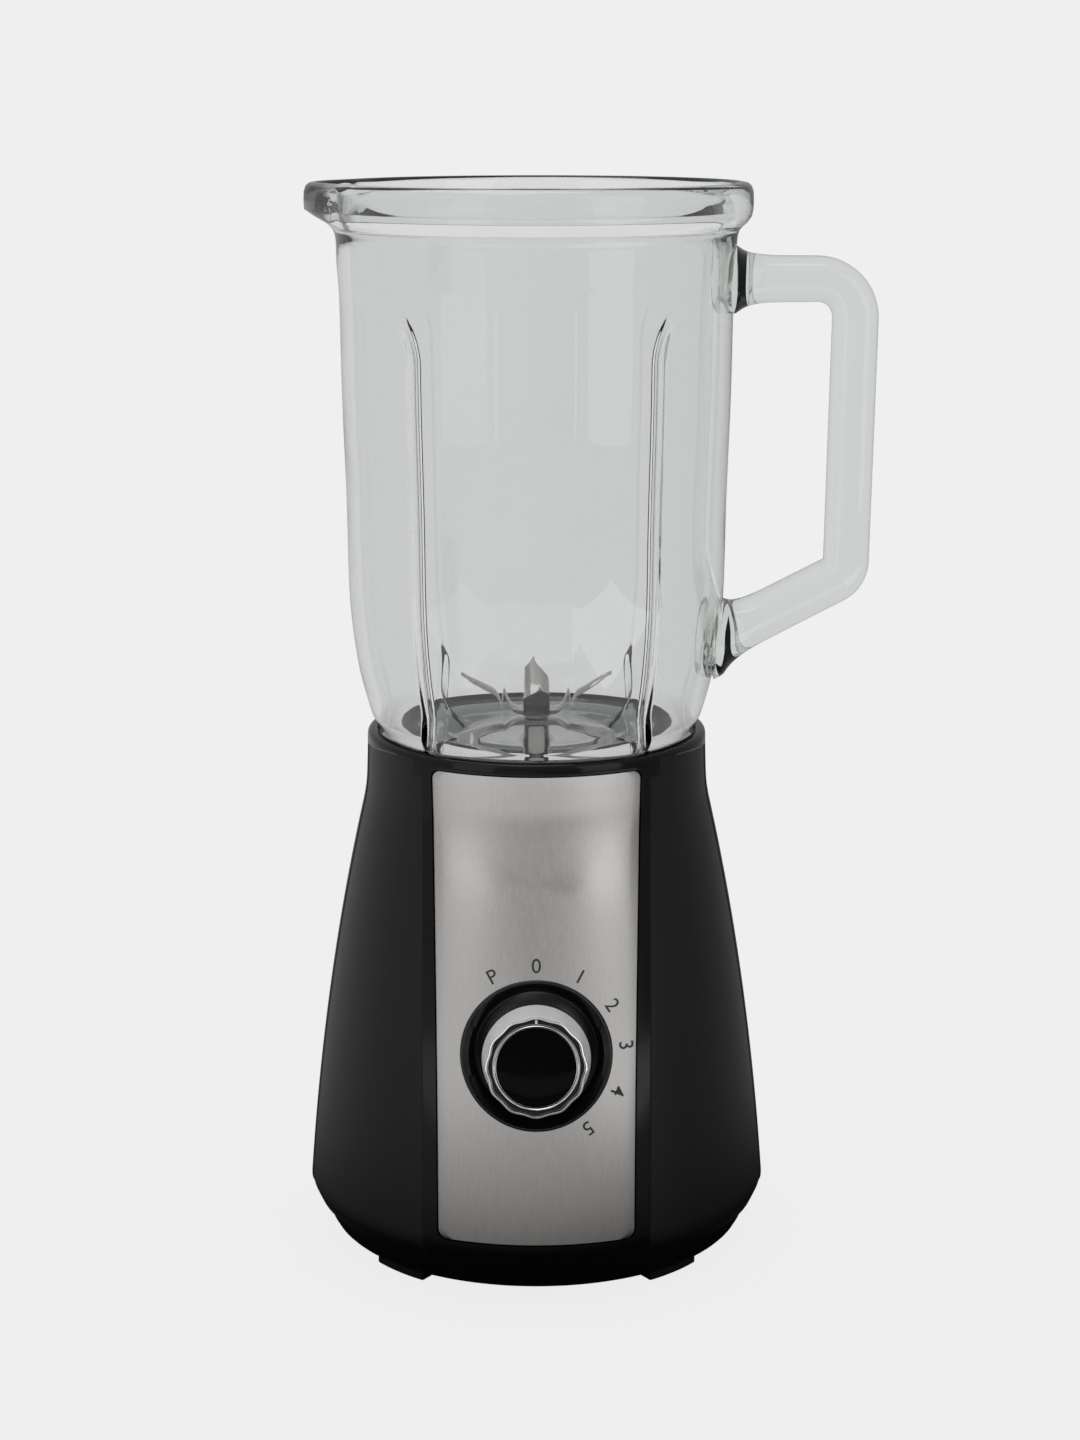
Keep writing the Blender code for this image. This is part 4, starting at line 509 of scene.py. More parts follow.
def bezel_mesh():
    """Dish of the bezel."""
    sides = 144

    def ring(radius, height, follow=0.0):
        points = []
        for i in range(sides):
            x, y = radius * math.cos(math.tau * i / sides), radius * math.sin(math.tau * i / sides)
            points.append(Vector((x, y, height + follow * dial_surface(x, y))))
        return points

    rings = [ring(BEZEL_RADIUS, 0.0, 1), ring(BEZEL_RADIUS - 0.00015, 0.00025, 1),
             ring(BEZEL_RADIUS - 0.0005, 0.0004, 1), ring(BEZEL_RADIUS - 0.0009, 0.00035, 1),
             ring(BEZEL_RADIUS - 0.0013, -0.0001, 0.95), ring(BEZEL_RADIUS - 0.0028, -0.0023, 0.5),
             ring(BEZEL_FLOOR_RADIUS + 0.0005, -BEZEL_DEPTH + 0.0009),
             ring(BEZEL_FLOOR_RADIUS, -BEZEL_DEPTH + 0.0002),
             ring(BEZEL_FLOOR_RADIUS - 0.0007, -BEZEL_DEPTH), ring(BUSHING_HOLE, -BEZEL_DEPTH),
             ring(BUSHING_HOLE, -BEZEL_DEPTH - BEZEL_WALL),
             ring(BEZEL_FLOOR_RADIUS + 0.0012, -BEZEL_DEPTH - BEZEL_WALL), ring(BEZEL_RADIUS, -BEZEL_DEPTH)]
    return on_dial(skinned("bezel", rings, True, 35))


BEZEL_BLACK = finish_of("bezel_black", (0.004, 0.004, 0.004), 0.20, spread=0.03, grain=500,
                        relief=0.000004, Specular_IOR_Level=0.45)
piece("dial_dish", bezel_mesh(), "base", "gloss_black", ["dial_bezel"], BEZEL_BLACK)

PRINT_INK = finish_of("print_ink", (0.03, 0.03, 0.03), 0.55, grain=4000, relief=0.000003)
for figure, degrees in POSITIONS:
    letter = bpy.data.curves.new("figure", "FONT")
    letter.body = figure
    letter.size = FIGURE_SIZE
    letter.align_x, letter.align_y = "CENTER", "CENTER"
    letter.offset = 0.00002
    letter.extrude = 0.00003
    holder = bpy.data.objects.new("figure", letter)
    ink = bpy.data.meshes.new_from_object(holder)
    bpy.data.objects.remove(holder)
    turn = math.radians(degrees)
    ink.transform(Matrix.Translation((FIGURE_CIRCLE * math.sin(turn), FIGURE_CIRCLE * math.cos(turn), 0))
                  @ Matrix.Rotation(-turn, 4, "Z"))
    for point in ink.vertices:
        point.co.z += dial_surface(point.co.x, point.co.y) - 0.00015
    piece(f"position_{figure}", on_dial(ink), "base", "satin_black", [], PRINT_INK)

# ---- Knob -------------------------------------------------------------------------------------
# Chrome-plated moulded knob with twelve shallow scallops, a satin black face ring, a thin bright
# ring round a glossy black cap, and a bright tick that points at the speed.
KNOB_RADIUS, KNOB_FACE_RADIUS, KNOB_REACH, KNOB_SKIRT = 0.0179, 0.0167, 0.0187, 0.0034
KNOB_RIM = 0.0009
FACE_LEVEL, SCALLOPS, SCALLOP_DEPTH = 0.0168, 12, 0.0005
BRIGHT_RING = 0.0139
NUT_TOP = -0.0031


def scalloped(radius, height, share):
    """Ring of the knob with its shallow hollows."""
    steps = SCALLOPS * 16
    points = []
    for i in range(steps):
        turn = math.tau * i / steps
        reach = radius - share * SCALLOP_DEPTH * (0.5 - 0.5 * math.cos(SCALLOPS * turn))
        points.append(Vector((reach * math.cos(turn), reach * math.sin(turn), height)))
    return points


def knob_mesh():
    """Chrome body: rim, flared side, skirt and the stem that sits in the dish."""
    stem, inner = KNOB_RADIUS - 0.0029, KNOB_FACE_RADIUS - KNOB_RIM
    outline = [
        (KNOB_FACE_RADIUS - 0.0006, KNOB_REACH, 1), (KNOB_FACE_RADIUS - 0.0002, KNOB_REACH - 0.0002, 1),
        (KNOB_FACE_RADIUS, KNOB_REACH - 0.0007, 1), (KNOB_FACE_RADIUS + 0.0001, KNOB_REACH - 0.0030, 0.9),
        ((KNOB_RADIUS + KNOB_FACE_RADIUS) / 2, KNOB_REACH * 0.5, 0.5),
        (KNOB_RADIUS - 0.0001, KNOB_SKIRT + 0.0012, 0.1), (KNOB_RADIUS, KNOB_SKIRT + 0.0004, 0),
        (KNOB_RADIUS - 0.0003, KNOB_SKIRT, 0), (stem + 0.0003, KNOB_SKIRT - 0.0004, 0),
        (stem, KNOB_SKIRT - 0.0009, 0), (stem, -BEZEL_DEPTH + 0.0010, 0),
        (stem - 0.0016, -BEZEL_DEPTH + 0.0010, 0), (stem - 0.0016, NUT_TOP, 0), (0.0078, NUT_TOP, 0),
        (0.0033, NUT_TOP + 0.0006, 0), (0.0033, FACE_LEVEL, 0), (inner, FACE_LEVEL, 1),
        (inner, KNOB_REACH - 0.0003, 1), (inner + 0.0002, KNOB_REACH, 1)]
    return skinned("knob", [scalloped(*row) for row in outline], True, 40)


def block(name, size, centre, easing=0.0):
    """Rectangular block with eased edges."""
    body = bmesh.new()
    bmesh.ops.create_cube(body, size=1)
    bmesh.ops.scale(body, vec=size, verts=body.verts)
    bmesh.ops.translate(body, vec=centre, verts=body.verts)
    if easing:
        bmesh.ops.bevel(body, geom=body.edges, offset=easing, segments=3, profile=0.5, affect="EDGES")
    return finished(name, body)


KNOB_CHROME = finish_of("knob_chrome", (0.88, 0.88, 0.88), 0.16, metallic=1.0, spread=0.02, grain=700,
                        relief=0.000002, tone=0.02)
SATIN_SILVER = finish_of("satin_silver", (0.93, 0.93, 0.93), 0.34, metallic=0.2, spread=0.04, grain=1400,
                         relief=0.000004, tone=0.02)
FACE_BLACK = finish_of("face_black", (0.005, 0.005, 0.005), 0.38, spread=0.05, grain=3000,
                       relief=0.000008, Specular_IOR_Level=0.35)
CAP_BLACK = finish_of("cap_black", (0.0012, 0.0012, 0.0012), 0.06, spread=0.02, grain=300,
                      relief=0.000001, Specular_IOR_Level=0.06)
shell = knob_mesh()
for face in shell.polygons:
    flared = face.center.xy.length > KNOB_FACE_RADIUS - 0.0008
    face.material_index = int(flared and KNOB_SKIRT < face.center.z < KNOB_REACH - 0.0009)
piece("knob_shell", on_dial(shell), "knob", "chrome_trim", ["knob_body"], KNOB_CHROME, SATIN_SILVER)
edge = KNOB_FACE_RADIUS - KNOB_RIM - 0.0002
rows = [(edge, KNOB_REACH - 0.0011, 1), (edge - 0.0002, KNOB_REACH - 0.0009, 1),
        (BRIGHT_RING + 0.0004, KNOB_REACH - 0.0009, 0), (BRIGHT_RING + 0.0003, KNOB_REACH - 0.0011, 0),
        (BRIGHT_RING + 0.0003, FACE_LEVEL + 0.0003, 0), (edge, FACE_LEVEL + 0.0003, 1)]
piece("knob_face_ring", on_dial(skinned("face_ring", [scalloped(*row) for row in rows], True)), "knob",
      "satin_black", ["knob_face"], FACE_BLACK)
low_z = FACE_LEVEL + 0.0003
bright = turned("bright_ring", [
    (BRIGHT_RING, low_z), (BRIGHT_RING, KNOB_REACH - 0.0006), (BRIGHT_RING - 0.0001, KNOB_REACH - 0.0003),
    (BRIGHT_RING - 0.0003, KNOB_REACH - 0.0002), (BRIGHT_RING - 0.0005, KNOB_REACH - 0.0003),
    (BRIGHT_RING - 0.0006, KNOB_REACH - 0.0006), (BRIGHT_RING - 0.0006, low_z)], 160, 45)
piece("knob_bright_ring", on_dial(bright), "knob", "chrome_trim", ["knob_ring"], KNOB_CHROME)
cap = BRIGHT_RING - 0.0009
dome = turned("cap", [
    (0, KNOB_REACH), (cap * 0.3, KNOB_REACH - 0.00002), (cap * 0.6, KNOB_REACH - 0.00008),
    (cap * 0.85, KNOB_REACH - 0.0002), (cap - 0.0003, KNOB_REACH - 0.0004), (cap, KNOB_REACH - 0.0009),
    (cap, low_z), (0, low_z)], 160)
piece("knob_cap_disc", on_dial(dome), "knob", "gloss_black", ["knob_cap"], CAP_BLACK)
tick = block("tick", (0.0008, 0.0014, 0.0009), (0, BRIGHT_RING + 0.0011, KNOB_REACH - 0.0006), 0.00015)
piece("knob_tick", on_dial(tick), "knob", "chrome_trim", ["knob_pointer"], KNOB_CHROME)

# ---- Bottom cover, feet and screws ------------------------------------------------------------
# Shallow moulded dish that closes the base, with eight air slots, held by four pan-head screws.
# Four arc-shaped rubber pads are pressed into its underside.
COVER_TOP_Z, COVER_UNDERSIDE_Z, COVER_WALL = 0.0137, 0.0045, 0.0025
COVER_RADIUS, COVER_FOOT_RADIUS = 0.0750, 0.0725
SCREW_CIRCLE, SCREW_TURNS = 0.0655, [math.radians(a) for a in (70, 110, 250, 290)]
SLOT_CIRCLE, SLOT_LENGTH, SLOT_WIDTH, SLOTS = 0.0300, 0.0200, 0.0030, 8
PAD_OUTER, PAD_WIDTH, PAD_ARC = 0.0685, 0.0120, math.radians(19)
PAD_TURNS = {"front_right": 44, "rear_right": 136, "rear_left": 224, "front_left": -44}


def around(turn, radius=0.0):
    """Place turned about the drive axis; 0 is the front, counted towards the handle side."""
    return Matrix.Rotation(turn, 4, "Z") @ Matrix.Translation((0, -radius, 0))


def slot_tool(width, length, bottom, top):
    """Tool with round ends that cuts one air slot."""
    ring = []
    for end in (1, -1):
        for i in range(9):
            turn = math.pi * i / 8 + (0 if end > 0 else math.pi)
            ring.append((width / 2 * math.cos(turn), end * (length - width) / 2 + width / 2 * math.sin(turn)))
    return skinned("slot", [[Vector((x, y, z)) for x, y in ring] for z in (bottom, top)])


cover = turned("cover", [
    (0, COVER_UNDERSIDE_Z), (COVER_FOOT_RADIUS - 0.0022, COVER_UNDERSIDE_Z),
    (COVER_FOOT_RADIUS - 0.0009, COVER_UNDERSIDE_Z + 0.0003), (COVER_FOOT_RADIUS, COVER_UNDERSIDE_Z + 0.0012),
    (COVER_RADIUS - 0.0012, COVER_UNDERSIDE_Z + 0.0034), (COVER_RADIUS - 0.0003, COVER_UNDERSIDE_Z + 0.0056),
    (COVER_RADIUS, COVER_TOP_Z), (COVER_RADIUS - COVER_WALL, COVER_TOP_Z),
    (COVER_FOOT_RADIUS - COVER_WALL, COVER_UNDERSIDE_Z + COVER_WALL),
    (0, COVER_UNDERSIDE_Z + COVER_WALL)], 144)
for i in range(SLOTS):
    tool = slot_tool(SLOT_WIDTH, SLOT_LENGTH, COVER_UNDERSIDE_Z - 0.002, COVER_UNDERSIDE_Z + 0.005)
    tool.transform(around(math.tau * i / SLOTS, SLOT_CIRCLE))
    cover = shaped(cover, "DIFFERENCE", tool)
for turn in SCREW_TURNS:
    tool = turned("hole", [(0, 0), (0.002, 0), (0.002, 0.012), (0, 0.012)], 32)
    tool.transform(around(turn, SCREW_CIRCLE))
    cover = shaped(cover, "DIFFERENCE", tool)
cover = smoothed(cover, 30)
COVER_ABS = finish_of("cover_abs", (0.0015, 0.0015, 0.0015), 0.55, spread=0.05, grain=2600,
                      relief=0.00003, Specular_IOR_Level=0.12)
piece("cover", cover, "base", "black_plastic", ["bottom_cover"], COVER_ABS)

PAD_RUBBER = finish_of("pad_rubber", (0.006, 0.006, 0.006), 0.75, spread=0.06, grain=3200,
                       relief=0.00004, Specular_IOR_Level=0.25)
for name, degrees in PAD_TURNS.items():
    turns = [math.radians(degrees) + PAD_ARC * (i / 20 - 0.5) for i in range(21)]
    corners = [(PAD_OUTER, turn) for turn in turns]
    corners += [(PAD_OUTER - PAD_WIDTH, turn) for turn in reversed(turns)]
    pad = skinned("pad", [[Vector((radius * math.sin(turn), -radius * math.cos(turn), z))
                           for radius, turn in corners] for z in (0, COVER_UNDERSIDE_Z - 0.0003)])
    body = bmesh.new()
    body.from_mesh(pad)
    rims = [edge for edge in body.edges if edge.calc_face_angle(0) > 0.6]
    bmesh.ops.bevel(body, geom=rims, offset=0.0006, segments=3, profile=0.5, affect="EDGES")
    piece(f"pad_{name}", finished("pad", body, 40), "base", "black_rubber", [f"foot_{name}"], PAD_RUBBER)

ZINC = finish_of("zinc_plate", (0.56, 0.57, 0.56), 0.32, metallic=1.0, spread=0.08, grain=1800,
                 relief=0.00001, tone=0.08)
for i, turn in enumerate(SCREW_TURNS):
    top, head = 0.0320, COVER_UNDERSIDE_Z - 0.0003
    screw = turned("screw", [
        (0, top), (0.0007, top), (0.0014, top - 0.0012), (0.0014, head), (0.0034, head),
        (0.0034, head - 0.0008), (0.0030, head - 0.0017), (0.0020, head - 0.0022), (0, head - 0.0022)], 40)
    for quarter in (0, 1):
        tip = block("tip", (0.0006, 0.0036, 0.0030), (0, 0, head - 0.0027))
        tip.transform(Matrix.Rotation(math.pi / 2 * quarter, 4, "Z"))
        screw = shaped(screw, "DIFFERENCE", tip)
    screw = smoothed(screw, 35)
    screw.transform(around(turn, SCREW_CIRCLE))
    piece(f"pan_screw_{i + 1}", screw, "base", "zinc_screws", [f"cover_screw_{i + 1}"], ZINC)

# ---- Cord inlet -------------------------------------------------------------------------------
# Moulded rubber bush at the rear of the base that the cord would enter by.  It is pressed through
# the shell from inside, and ribs in its bore grip the cord.
INLET_Z, INLET_RADIUS, INLET_BORE = 0.030, 0.0070, 0.0036
face, wall = shell_radius(INLET_Z) + 0.0004, shell_radius(INLET_Z) - SHELL_WALL
rows = [(INLET_RADIUS, wall - 0.0045), (INLET_RADIUS, face - 0.0010), (INLET_RADIUS - 0.0003, face - 0.0003),
        (INLET_RADIUS - 0.0010, face), (INLET_BORE + 0.0014, face), (INLET_BORE + 0.0005, face - 0.0004),
        (INLET_BORE, face - 0.0014)]
rows += [(INLET_BORE + (0.0004 if k % 2 else 0), face - 0.0014 - 0.0008 * k) for k in range(1, 6)]
rows += [(INLET_BORE, wall - 0.0045)]
inlet = turned("inlet", rows, 72, 40)
inlet.transform(Matrix.Translation((0, 0, INLET_Z)) @ Matrix.Rotation(-math.pi / 2, 4, "X"))
piece("inlet_bush", inlet, "base", "black_rubber", ["cord_inlet"], PAD_RUBBER)

# ---- Jug seat and drive coupling --------------------------------------------------------------
# Moulded insert in the collar with four lugs that enter the jug's grooves, and the splined nylon
# coupling on the motor shaft that drives the blade.
SEAT_RADIUS, SEAT_WALL, WELL_RADIUS = 0.0542, 0.0022, 0.0200
JUG_BOTTOM_Z = 0.1720
SEAT_TOP_Z, SEAT_REST_Z = JUG_BOTTOM_Z + 0.0062, JUG_BOTTOM_Z - 0.0003
LUG_TURNS = [math.radians(a) for a in (42, 138, 222, 318)]
LUG_TIP_RADIUS, LUG_WIDTH = 0.0512, 0.0020
SPLINE_TEETH, SPLINE_STEPS, DRIVE_BORE = 6, 144, 0.0043
deck = DECK_Z + 0.0003
seat = turned("seat", [
    (SEAT_RADIUS, SEAT_TOP_Z - 0.0004), (SEAT_RADIUS, deck), (SEAT_RADIUS - SEAT_WALL, deck),
    (SEAT_RADIUS - SEAT_WALL, SEAT_REST_Z - SEAT_WALL - 0.0010),
    (WELL_RADIUS + SEAT_WALL, SEAT_REST_Z - SEAT_WALL), (WELL_RADIUS + SEAT_WALL, deck),
    (DECK_BORE, deck), (DECK_BORE, deck + SEAT_WALL),
    (WELL_RADIUS - 0.0008, deck + SEAT_WALL), (WELL_RADIUS, deck + SEAT_WALL + 0.0008),
    (WELL_RADIUS, SEAT_REST_Z - 0.0006), (WELL_RADIUS + 0.0006, SEAT_REST_Z), (0.0411, SEAT_REST_Z),
    (0.0451, SEAT_REST_Z + 0.0014), (SEAT_RADIUS - 0.0016, SEAT_TOP_Z - 0.0003),
    (SEAT_RADIUS - 0.0011, SEAT_TOP_Z), (SEAT_RADIUS - 0.0003, SEAT_TOP_Z)], 144)
for turn in LUG_TURNS:
    near, far = LUG_TIP_RADIUS, SEAT_RADIUS - 0.0005
    low_z, high_z = SEAT_REST_Z - 0.001, SEAT_TOP_Z + 0.0030
    lug = block("lug", (LUG_WIDTH, far - near, high_z - low_z),
                (0, -(near + far) / 2, (low_z + high_z) / 2), 0.0005)
    lug.transform(around(turn))
    seat = shaped(seat, "UNION", lug)
seat = smoothed(seat, 35)
# The seat's rubber is given a faint grey glow: painted light standing in for the light that would reach it
# through the jug's glass.
SEAT_RUBBER_PAINTED_GLOW = finish_of("seat_rubber_painted_glow", (0.06, 0.064, 0.06), 0.62, spread=0.06, grain=2400,
                        relief=0.00004, Specular_IOR_Level=0.3, Emission_Strength=0.7,
                        Emission_Color=(0.29, 0.31, 0.29, 1))
piece("seat_insert", seat, "base", "black_rubber", ["jug_seat"], SEAT_RUBBER_PAINTED_GLOW)

COUPLING_NYLON = finish_of("coupling_nylon", (0.012, 0.012, 0.012), 0.45, spread=0.08, grain=1400,
                           relief=0.00003, Specular_IOR_Level=0.4)


def spline_ring(root, tip, z):
    """Ring of a six-tooth spline with eased corners."""
    points = []
    for i in range(SPLINE_STEPS):
        turn = math.tau * i / SPLINE_STEPS
        share = (turn / (math.tau / SPLINE_TEETH)) % 1.0
        lift = eased(share, 0.38, 0.52) * (1 - eased(share, 0.88, 1.0))
        reach = root + (tip - root) * lift
        points.append(Vector((reach * math.cos(turn), reach * math.sin(turn), z)))
    return points


def levels_of(part):
    """Lowest and highest level of a modelled part."""
    low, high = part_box(part)
    return low.z, high.z


drive_low, drive_high = levels_of("drive_coupling")
root, tip = 0.0066, 0.0084
drive = skinned("drive", [
    spline_ring(root - 0.0006, tip - 0.0006, drive_high),
    spline_ring(root - 0.0002, tip - 0.0002, drive_high - 0.0003),
    spline_ring(root, tip, drive_high - 0.0009), spline_ring(root, tip, drive_low),
    spline_ring(DRIVE_BORE, DRIVE_BORE, drive_low),
    spline_ring(DRIVE_BORE, DRIVE_BORE, drive_high)], True, 35)
piece("drive_splines", drive, "rotor", "coupling_plastic", ["drive_coupling"], COUPLING_NYLON)

# ---- Glass jug --------------------------------------------------------------------------------
# Clear pressed soda-lime glass: a tapered wall about 4 mm thick, a heavy rim bead with a ledge for
# the lid, a pour spout opposite a solid handle, and four grooves pressed in from outside.
JUG_TOP_Z, JUG_FLOOR_Z = 0.3675, 0.1785
GROOVE_TIP_Z, GROOVE_TURN, GROOVE_END_TURN = 0.3275, math.radians(37.6), math.radians(42.0)
GROOVE_HALF_WIDTH, GROOVE_DEPTH, FOOT_DEPTH = 0.0023, 0.0012, 0.0026
HOOK_START_Z, FOOT_START_Z, FOOT_RUN = 0.3120, 0.1960, 0.0140
REAR_SHARE, INNER_SHARE = 0.25, 0.9
SPOUT_REACH, SPOUT_HALF_ANGLE = 0.0052, math.radians(24)
RIDGE_TURN, RIDGE_HEIGHT = math.radians(10.2), 0.00014
OUTSIDE = [
    (69.0, 367.5), (70.5, 367.2), (71.6, 366.2), (72.2, 364.4), (72.3, 361.5), (72.2, 358.6), (71.7, 356.4),
    (70.4, 354.5), (68.9, 353.2), (67.8, 352.0), (67.2, 350.2), (66.9, 347.0), (66.8, 341.5), (66.1, 330.0),
    (65.6, 296.0), (64.6, 262.0), (63.9, 227.0), (61.5, 206.0), (58.2, 192.0), (56.0, 185.8), (53.0, 181.8),
    (48.6, 177.6), (45.4, 174.4), (43.0, 172.6), (40.5, 172.0)]
INSIDE = [
    (44.0, 178.5), (47.4, 178.9), (50.2, 180.2), (52.0, 182.6), (53.0, 186.6), (54.0, 192.0), (57.2, 206.0),
    (59.6, 227.0), (60.3, 262.0), (61.3, 296.0), (61.8, 330.0), (62.4, 341.5), (62.8, 347.5), (63.4, 350.5),
    (64.3, 352.6), (65.2, 354.4), (65.8, 356.6), (66.4, 361.0), (66.8, 365.6), (67.3, 367.0),
    (68.2, 367.5)]


def run_through(points, longest):
    """Smooth run of (radius, level) in metres through points in millimetres."""
    run = []
    for i in range(len(points) - 1):
        before, start, end = points[max(i - 1, 0)], points[i], points[i + 1]
        after = points[min(i + 2, len(points) - 1)]
        span = math.dist(start, end)
        reach_in = span / max(math.dist(before, end), 1e-6)
        reach_out = span / max(math.dist(start, after), 1e-6)
        steps = max(1, math.ceil(span / longest))
        for k in range(steps):
            t = k / steps
            point = []
            for axis in (0, 1):
                slope_in = (end[axis] - before[axis]) * reach_in
                slope_out = (after[axis] - start[axis]) * reach_out
                point.append((2 * t ** 3 - 3 * t ** 2 + 1) * start[axis]
                             + (t ** 3 - 2 * t ** 2 + t) * slope_in
                             + (3 * t ** 2 - 2 * t ** 3) * end[axis] + (t ** 3 - t ** 2) * slope_out)
            run.append((point[0] / 1000, point[1] / 1000))
    run.append((points[-1][0] / 1000, points[-1][1] / 1000))
    return run


def groove_turn(z):
    """Azimuth of the front grooves at a level: upright, hooked outwards at the tip and the foot."""
    hook = max(z - HOOK_START_Z, 0.0) / (GROOVE_TIP_Z - HOOK_START_Z)
    foot = min(max(FOOT_START_Z - z, 0.0) / FOOT_RUN, 1.0)
    return GROOVE_TURN + (GROOVE_END_TURN - GROOVE_TURN) * (min(hook, 1.2) ** 1.6 + foot)


def jug_turns():
    """Azimuths of the jug's columns for one quarter, crowded round the groove and the ridge."""
    turns = [GROOVE_TURN + math.radians(2.5) * k / 12 for k in range(-12, 13)]
    turns += [math.radians(d) for d in (9.2, 9.7, 10.2, 10.7, 11.2)]
    turns += [math.radians(a) for a in (0, 1.6, 3.2, 4.8, 6.4, 8.0)]
    turns += [math.radians(12.4 + 1.6 * k) for k in range(15)]
    turns += [math.radians(41.6 + 1.6 * k) for k in range(31)]
    return sorted(set(round(t, 6) for t in turns if t < math.pi / 2))


def jug_ring(radius, z, outside=True):
    """Ring of the jug at a level, with grooves, ridges and spout."""
    share = eased(GROOVE_TIP_Z - z, 0.0, 0.008)
    spout = eased(z, 0.3545, 0.3585)
    shift = groove_turn(z) - GROOVE_TURN
    half = GROOVE_HALF_WIDTH * (0.35 + 0.65 * share)
    depth = FOOT_DEPTH + (GROOVE_DEPTH - FOOT_DEPTH) * eased(z, 0.187, 0.200)
    depth *= share * (1 if outside else INNER_SHARE)
    quarter = jug_turns()
    ring = []
    for k in range(4):
        for local in reversed(quarter) if k % 2 else quarter:
            near = abs(local - GROOVE_TURN)
            bent = local + shift * (1 - eased(near, math.radians(3), math.radians(16)))
            reach = radius
            across = near * max(radius, 0.04)
            rear = k in (1, 2)
            if across < half and radius > 0.042:
                reach -= depth * (REAR_SHARE if rear and z > 0.200 else 1.0) * (1 - (across / half) ** 2) ** 2
            if outside and not rear and 0.195 < z < 0.331:
                reach += RIDGE_HEIGHT * math.exp(-((local - RIDGE_TURN) / math.radians(0.6)) ** 2)
            angle = (bent if k % 2 == 0 else math.pi / 2 - bent) + math.pi / 2 * k
            off = abs(angle - 1.5 * math.pi) / SPOUT_HALF_ANGLE
            if off < 1:
                reach += spout * SPOUT_REACH * math.cos(off * math.pi / 2) ** 1.5 * (1 if outside else 1.15)
            ring.append(Vector((reach * math.sin(angle), -reach * math.cos(angle), z)))
    return ring


def jug_mesh():
    """Wall, rim, spout and floor of the jug."""
    rings = [jug_ring(radius, z) for radius, z in run_through(OUTSIDE, 3.0)]
    rings += [jug_ring(radius, JUG_BOTTOM_Z) for radius in (0.030, 0.018, 0.0058)]
    rings += [jug_ring(0.0054, JUG_BOTTOM_Z + 0.0004), jug_ring(0.0054, JUG_FLOOR_Z - 0.0004)]
    rings += [jug_ring(radius, JUG_FLOOR_Z) for radius in (0.0058, 0.018, 0.032)]
    rings += [jug_ring(radius, z, False) for radius, z in run_through(INSIDE, 3.0)]
    return skinned("jug", rings, True, 50)


def rounded_path(corners, bends, steps):
    """Path through corner points with an arc at each inner corner."""
    path = [corners[0]]
    for before, corner, after, bend in zip(corners, corners[1:], corners[2:], bends):
        into, out = (corner - before).normalized(), (after - corner).normalized()
        turn = into.angle(out)
        cut = bend * math.tan(turn / 2)
        start, end = corner - into * cut, corner + out * cut
        centre = corner + ((start + end) / 2 - corner).normalized() * (bend / math.cos(turn / 2))
        for i in range(steps + 1):
            ray = (start - centre).slerp(end - centre, i / steps)
            path.append(centre + ray.normalized() * bend)
    path.append(corners[-1])
    return path


def handle_mesh():
    """Solid glass handle with roots that flare into the wall."""
    reach, thickness, width, slope = 0.1150, 0.0152, 0.0200, 0.52
    top = JUG_TOP_Z - 0.0320
    outer, corner_z, root_x = reach - thickness / 2, top - 0.1000, 0.0609
    upper = Vector((0.0634, 0, top))
    lower = Vector((root_x, 0, corner_z - slope * (outer - 0.0015 - root_x)))
    corners = [upper, Vector((outer, 0, top)), Vector((outer - 0.0015, 0, corner_z)), lower]
    path = rounded_path(corners, (0.0130, 0.0080), 14)
    along = (corners[2] - lower).normalized()
    heads = [0.002 + 0.0012 * k for k in range(14)]
    path = path[:1] + [upper + Vector((d, 0, 0)) for d in heads] + path[1:-1] + [
        lower + along * (d * 1.13) for d in reversed(heads)] + path[-1:]
    count = len(heads) + 1
    rings = []
    for i, point in enumerate(path):
        ahead = path[min(i + 1, len(path) - 1)] - path[max(i - 1, 0)]
        normal, stretch = Vector((-ahead.z, 0, ahead.x)).normalized(), 1.0
        if i < count or i >= len(path) - count:
            normal = Vector((0, 0, 1 if i < count else -1))
            stretch = 1.0 if i < count else math.hypot(1, slope)
        wall = 0.0668 if i < len(path) / 2 else 0.0639
        flare = 1 + 0.50 * math.exp(-max(point.x - wall, 0) / 0.0040)
        ring = []
        for k in range(48):
            c, s = math.cos(math.tau * k / 48), math.sin(math.tau * k / 48)
            c, s = math.copysign(abs(c) ** 0.7, c), math.copysign(abs(s) ** 0.7, s)
            ring.append(point + normal * (thickness / 2 * stretch * flare * c)
                        + Vector((0, width / 2 * flare * s, 0)))
        rings.append(ring)
    return skinned("handle", rings, False, 50)


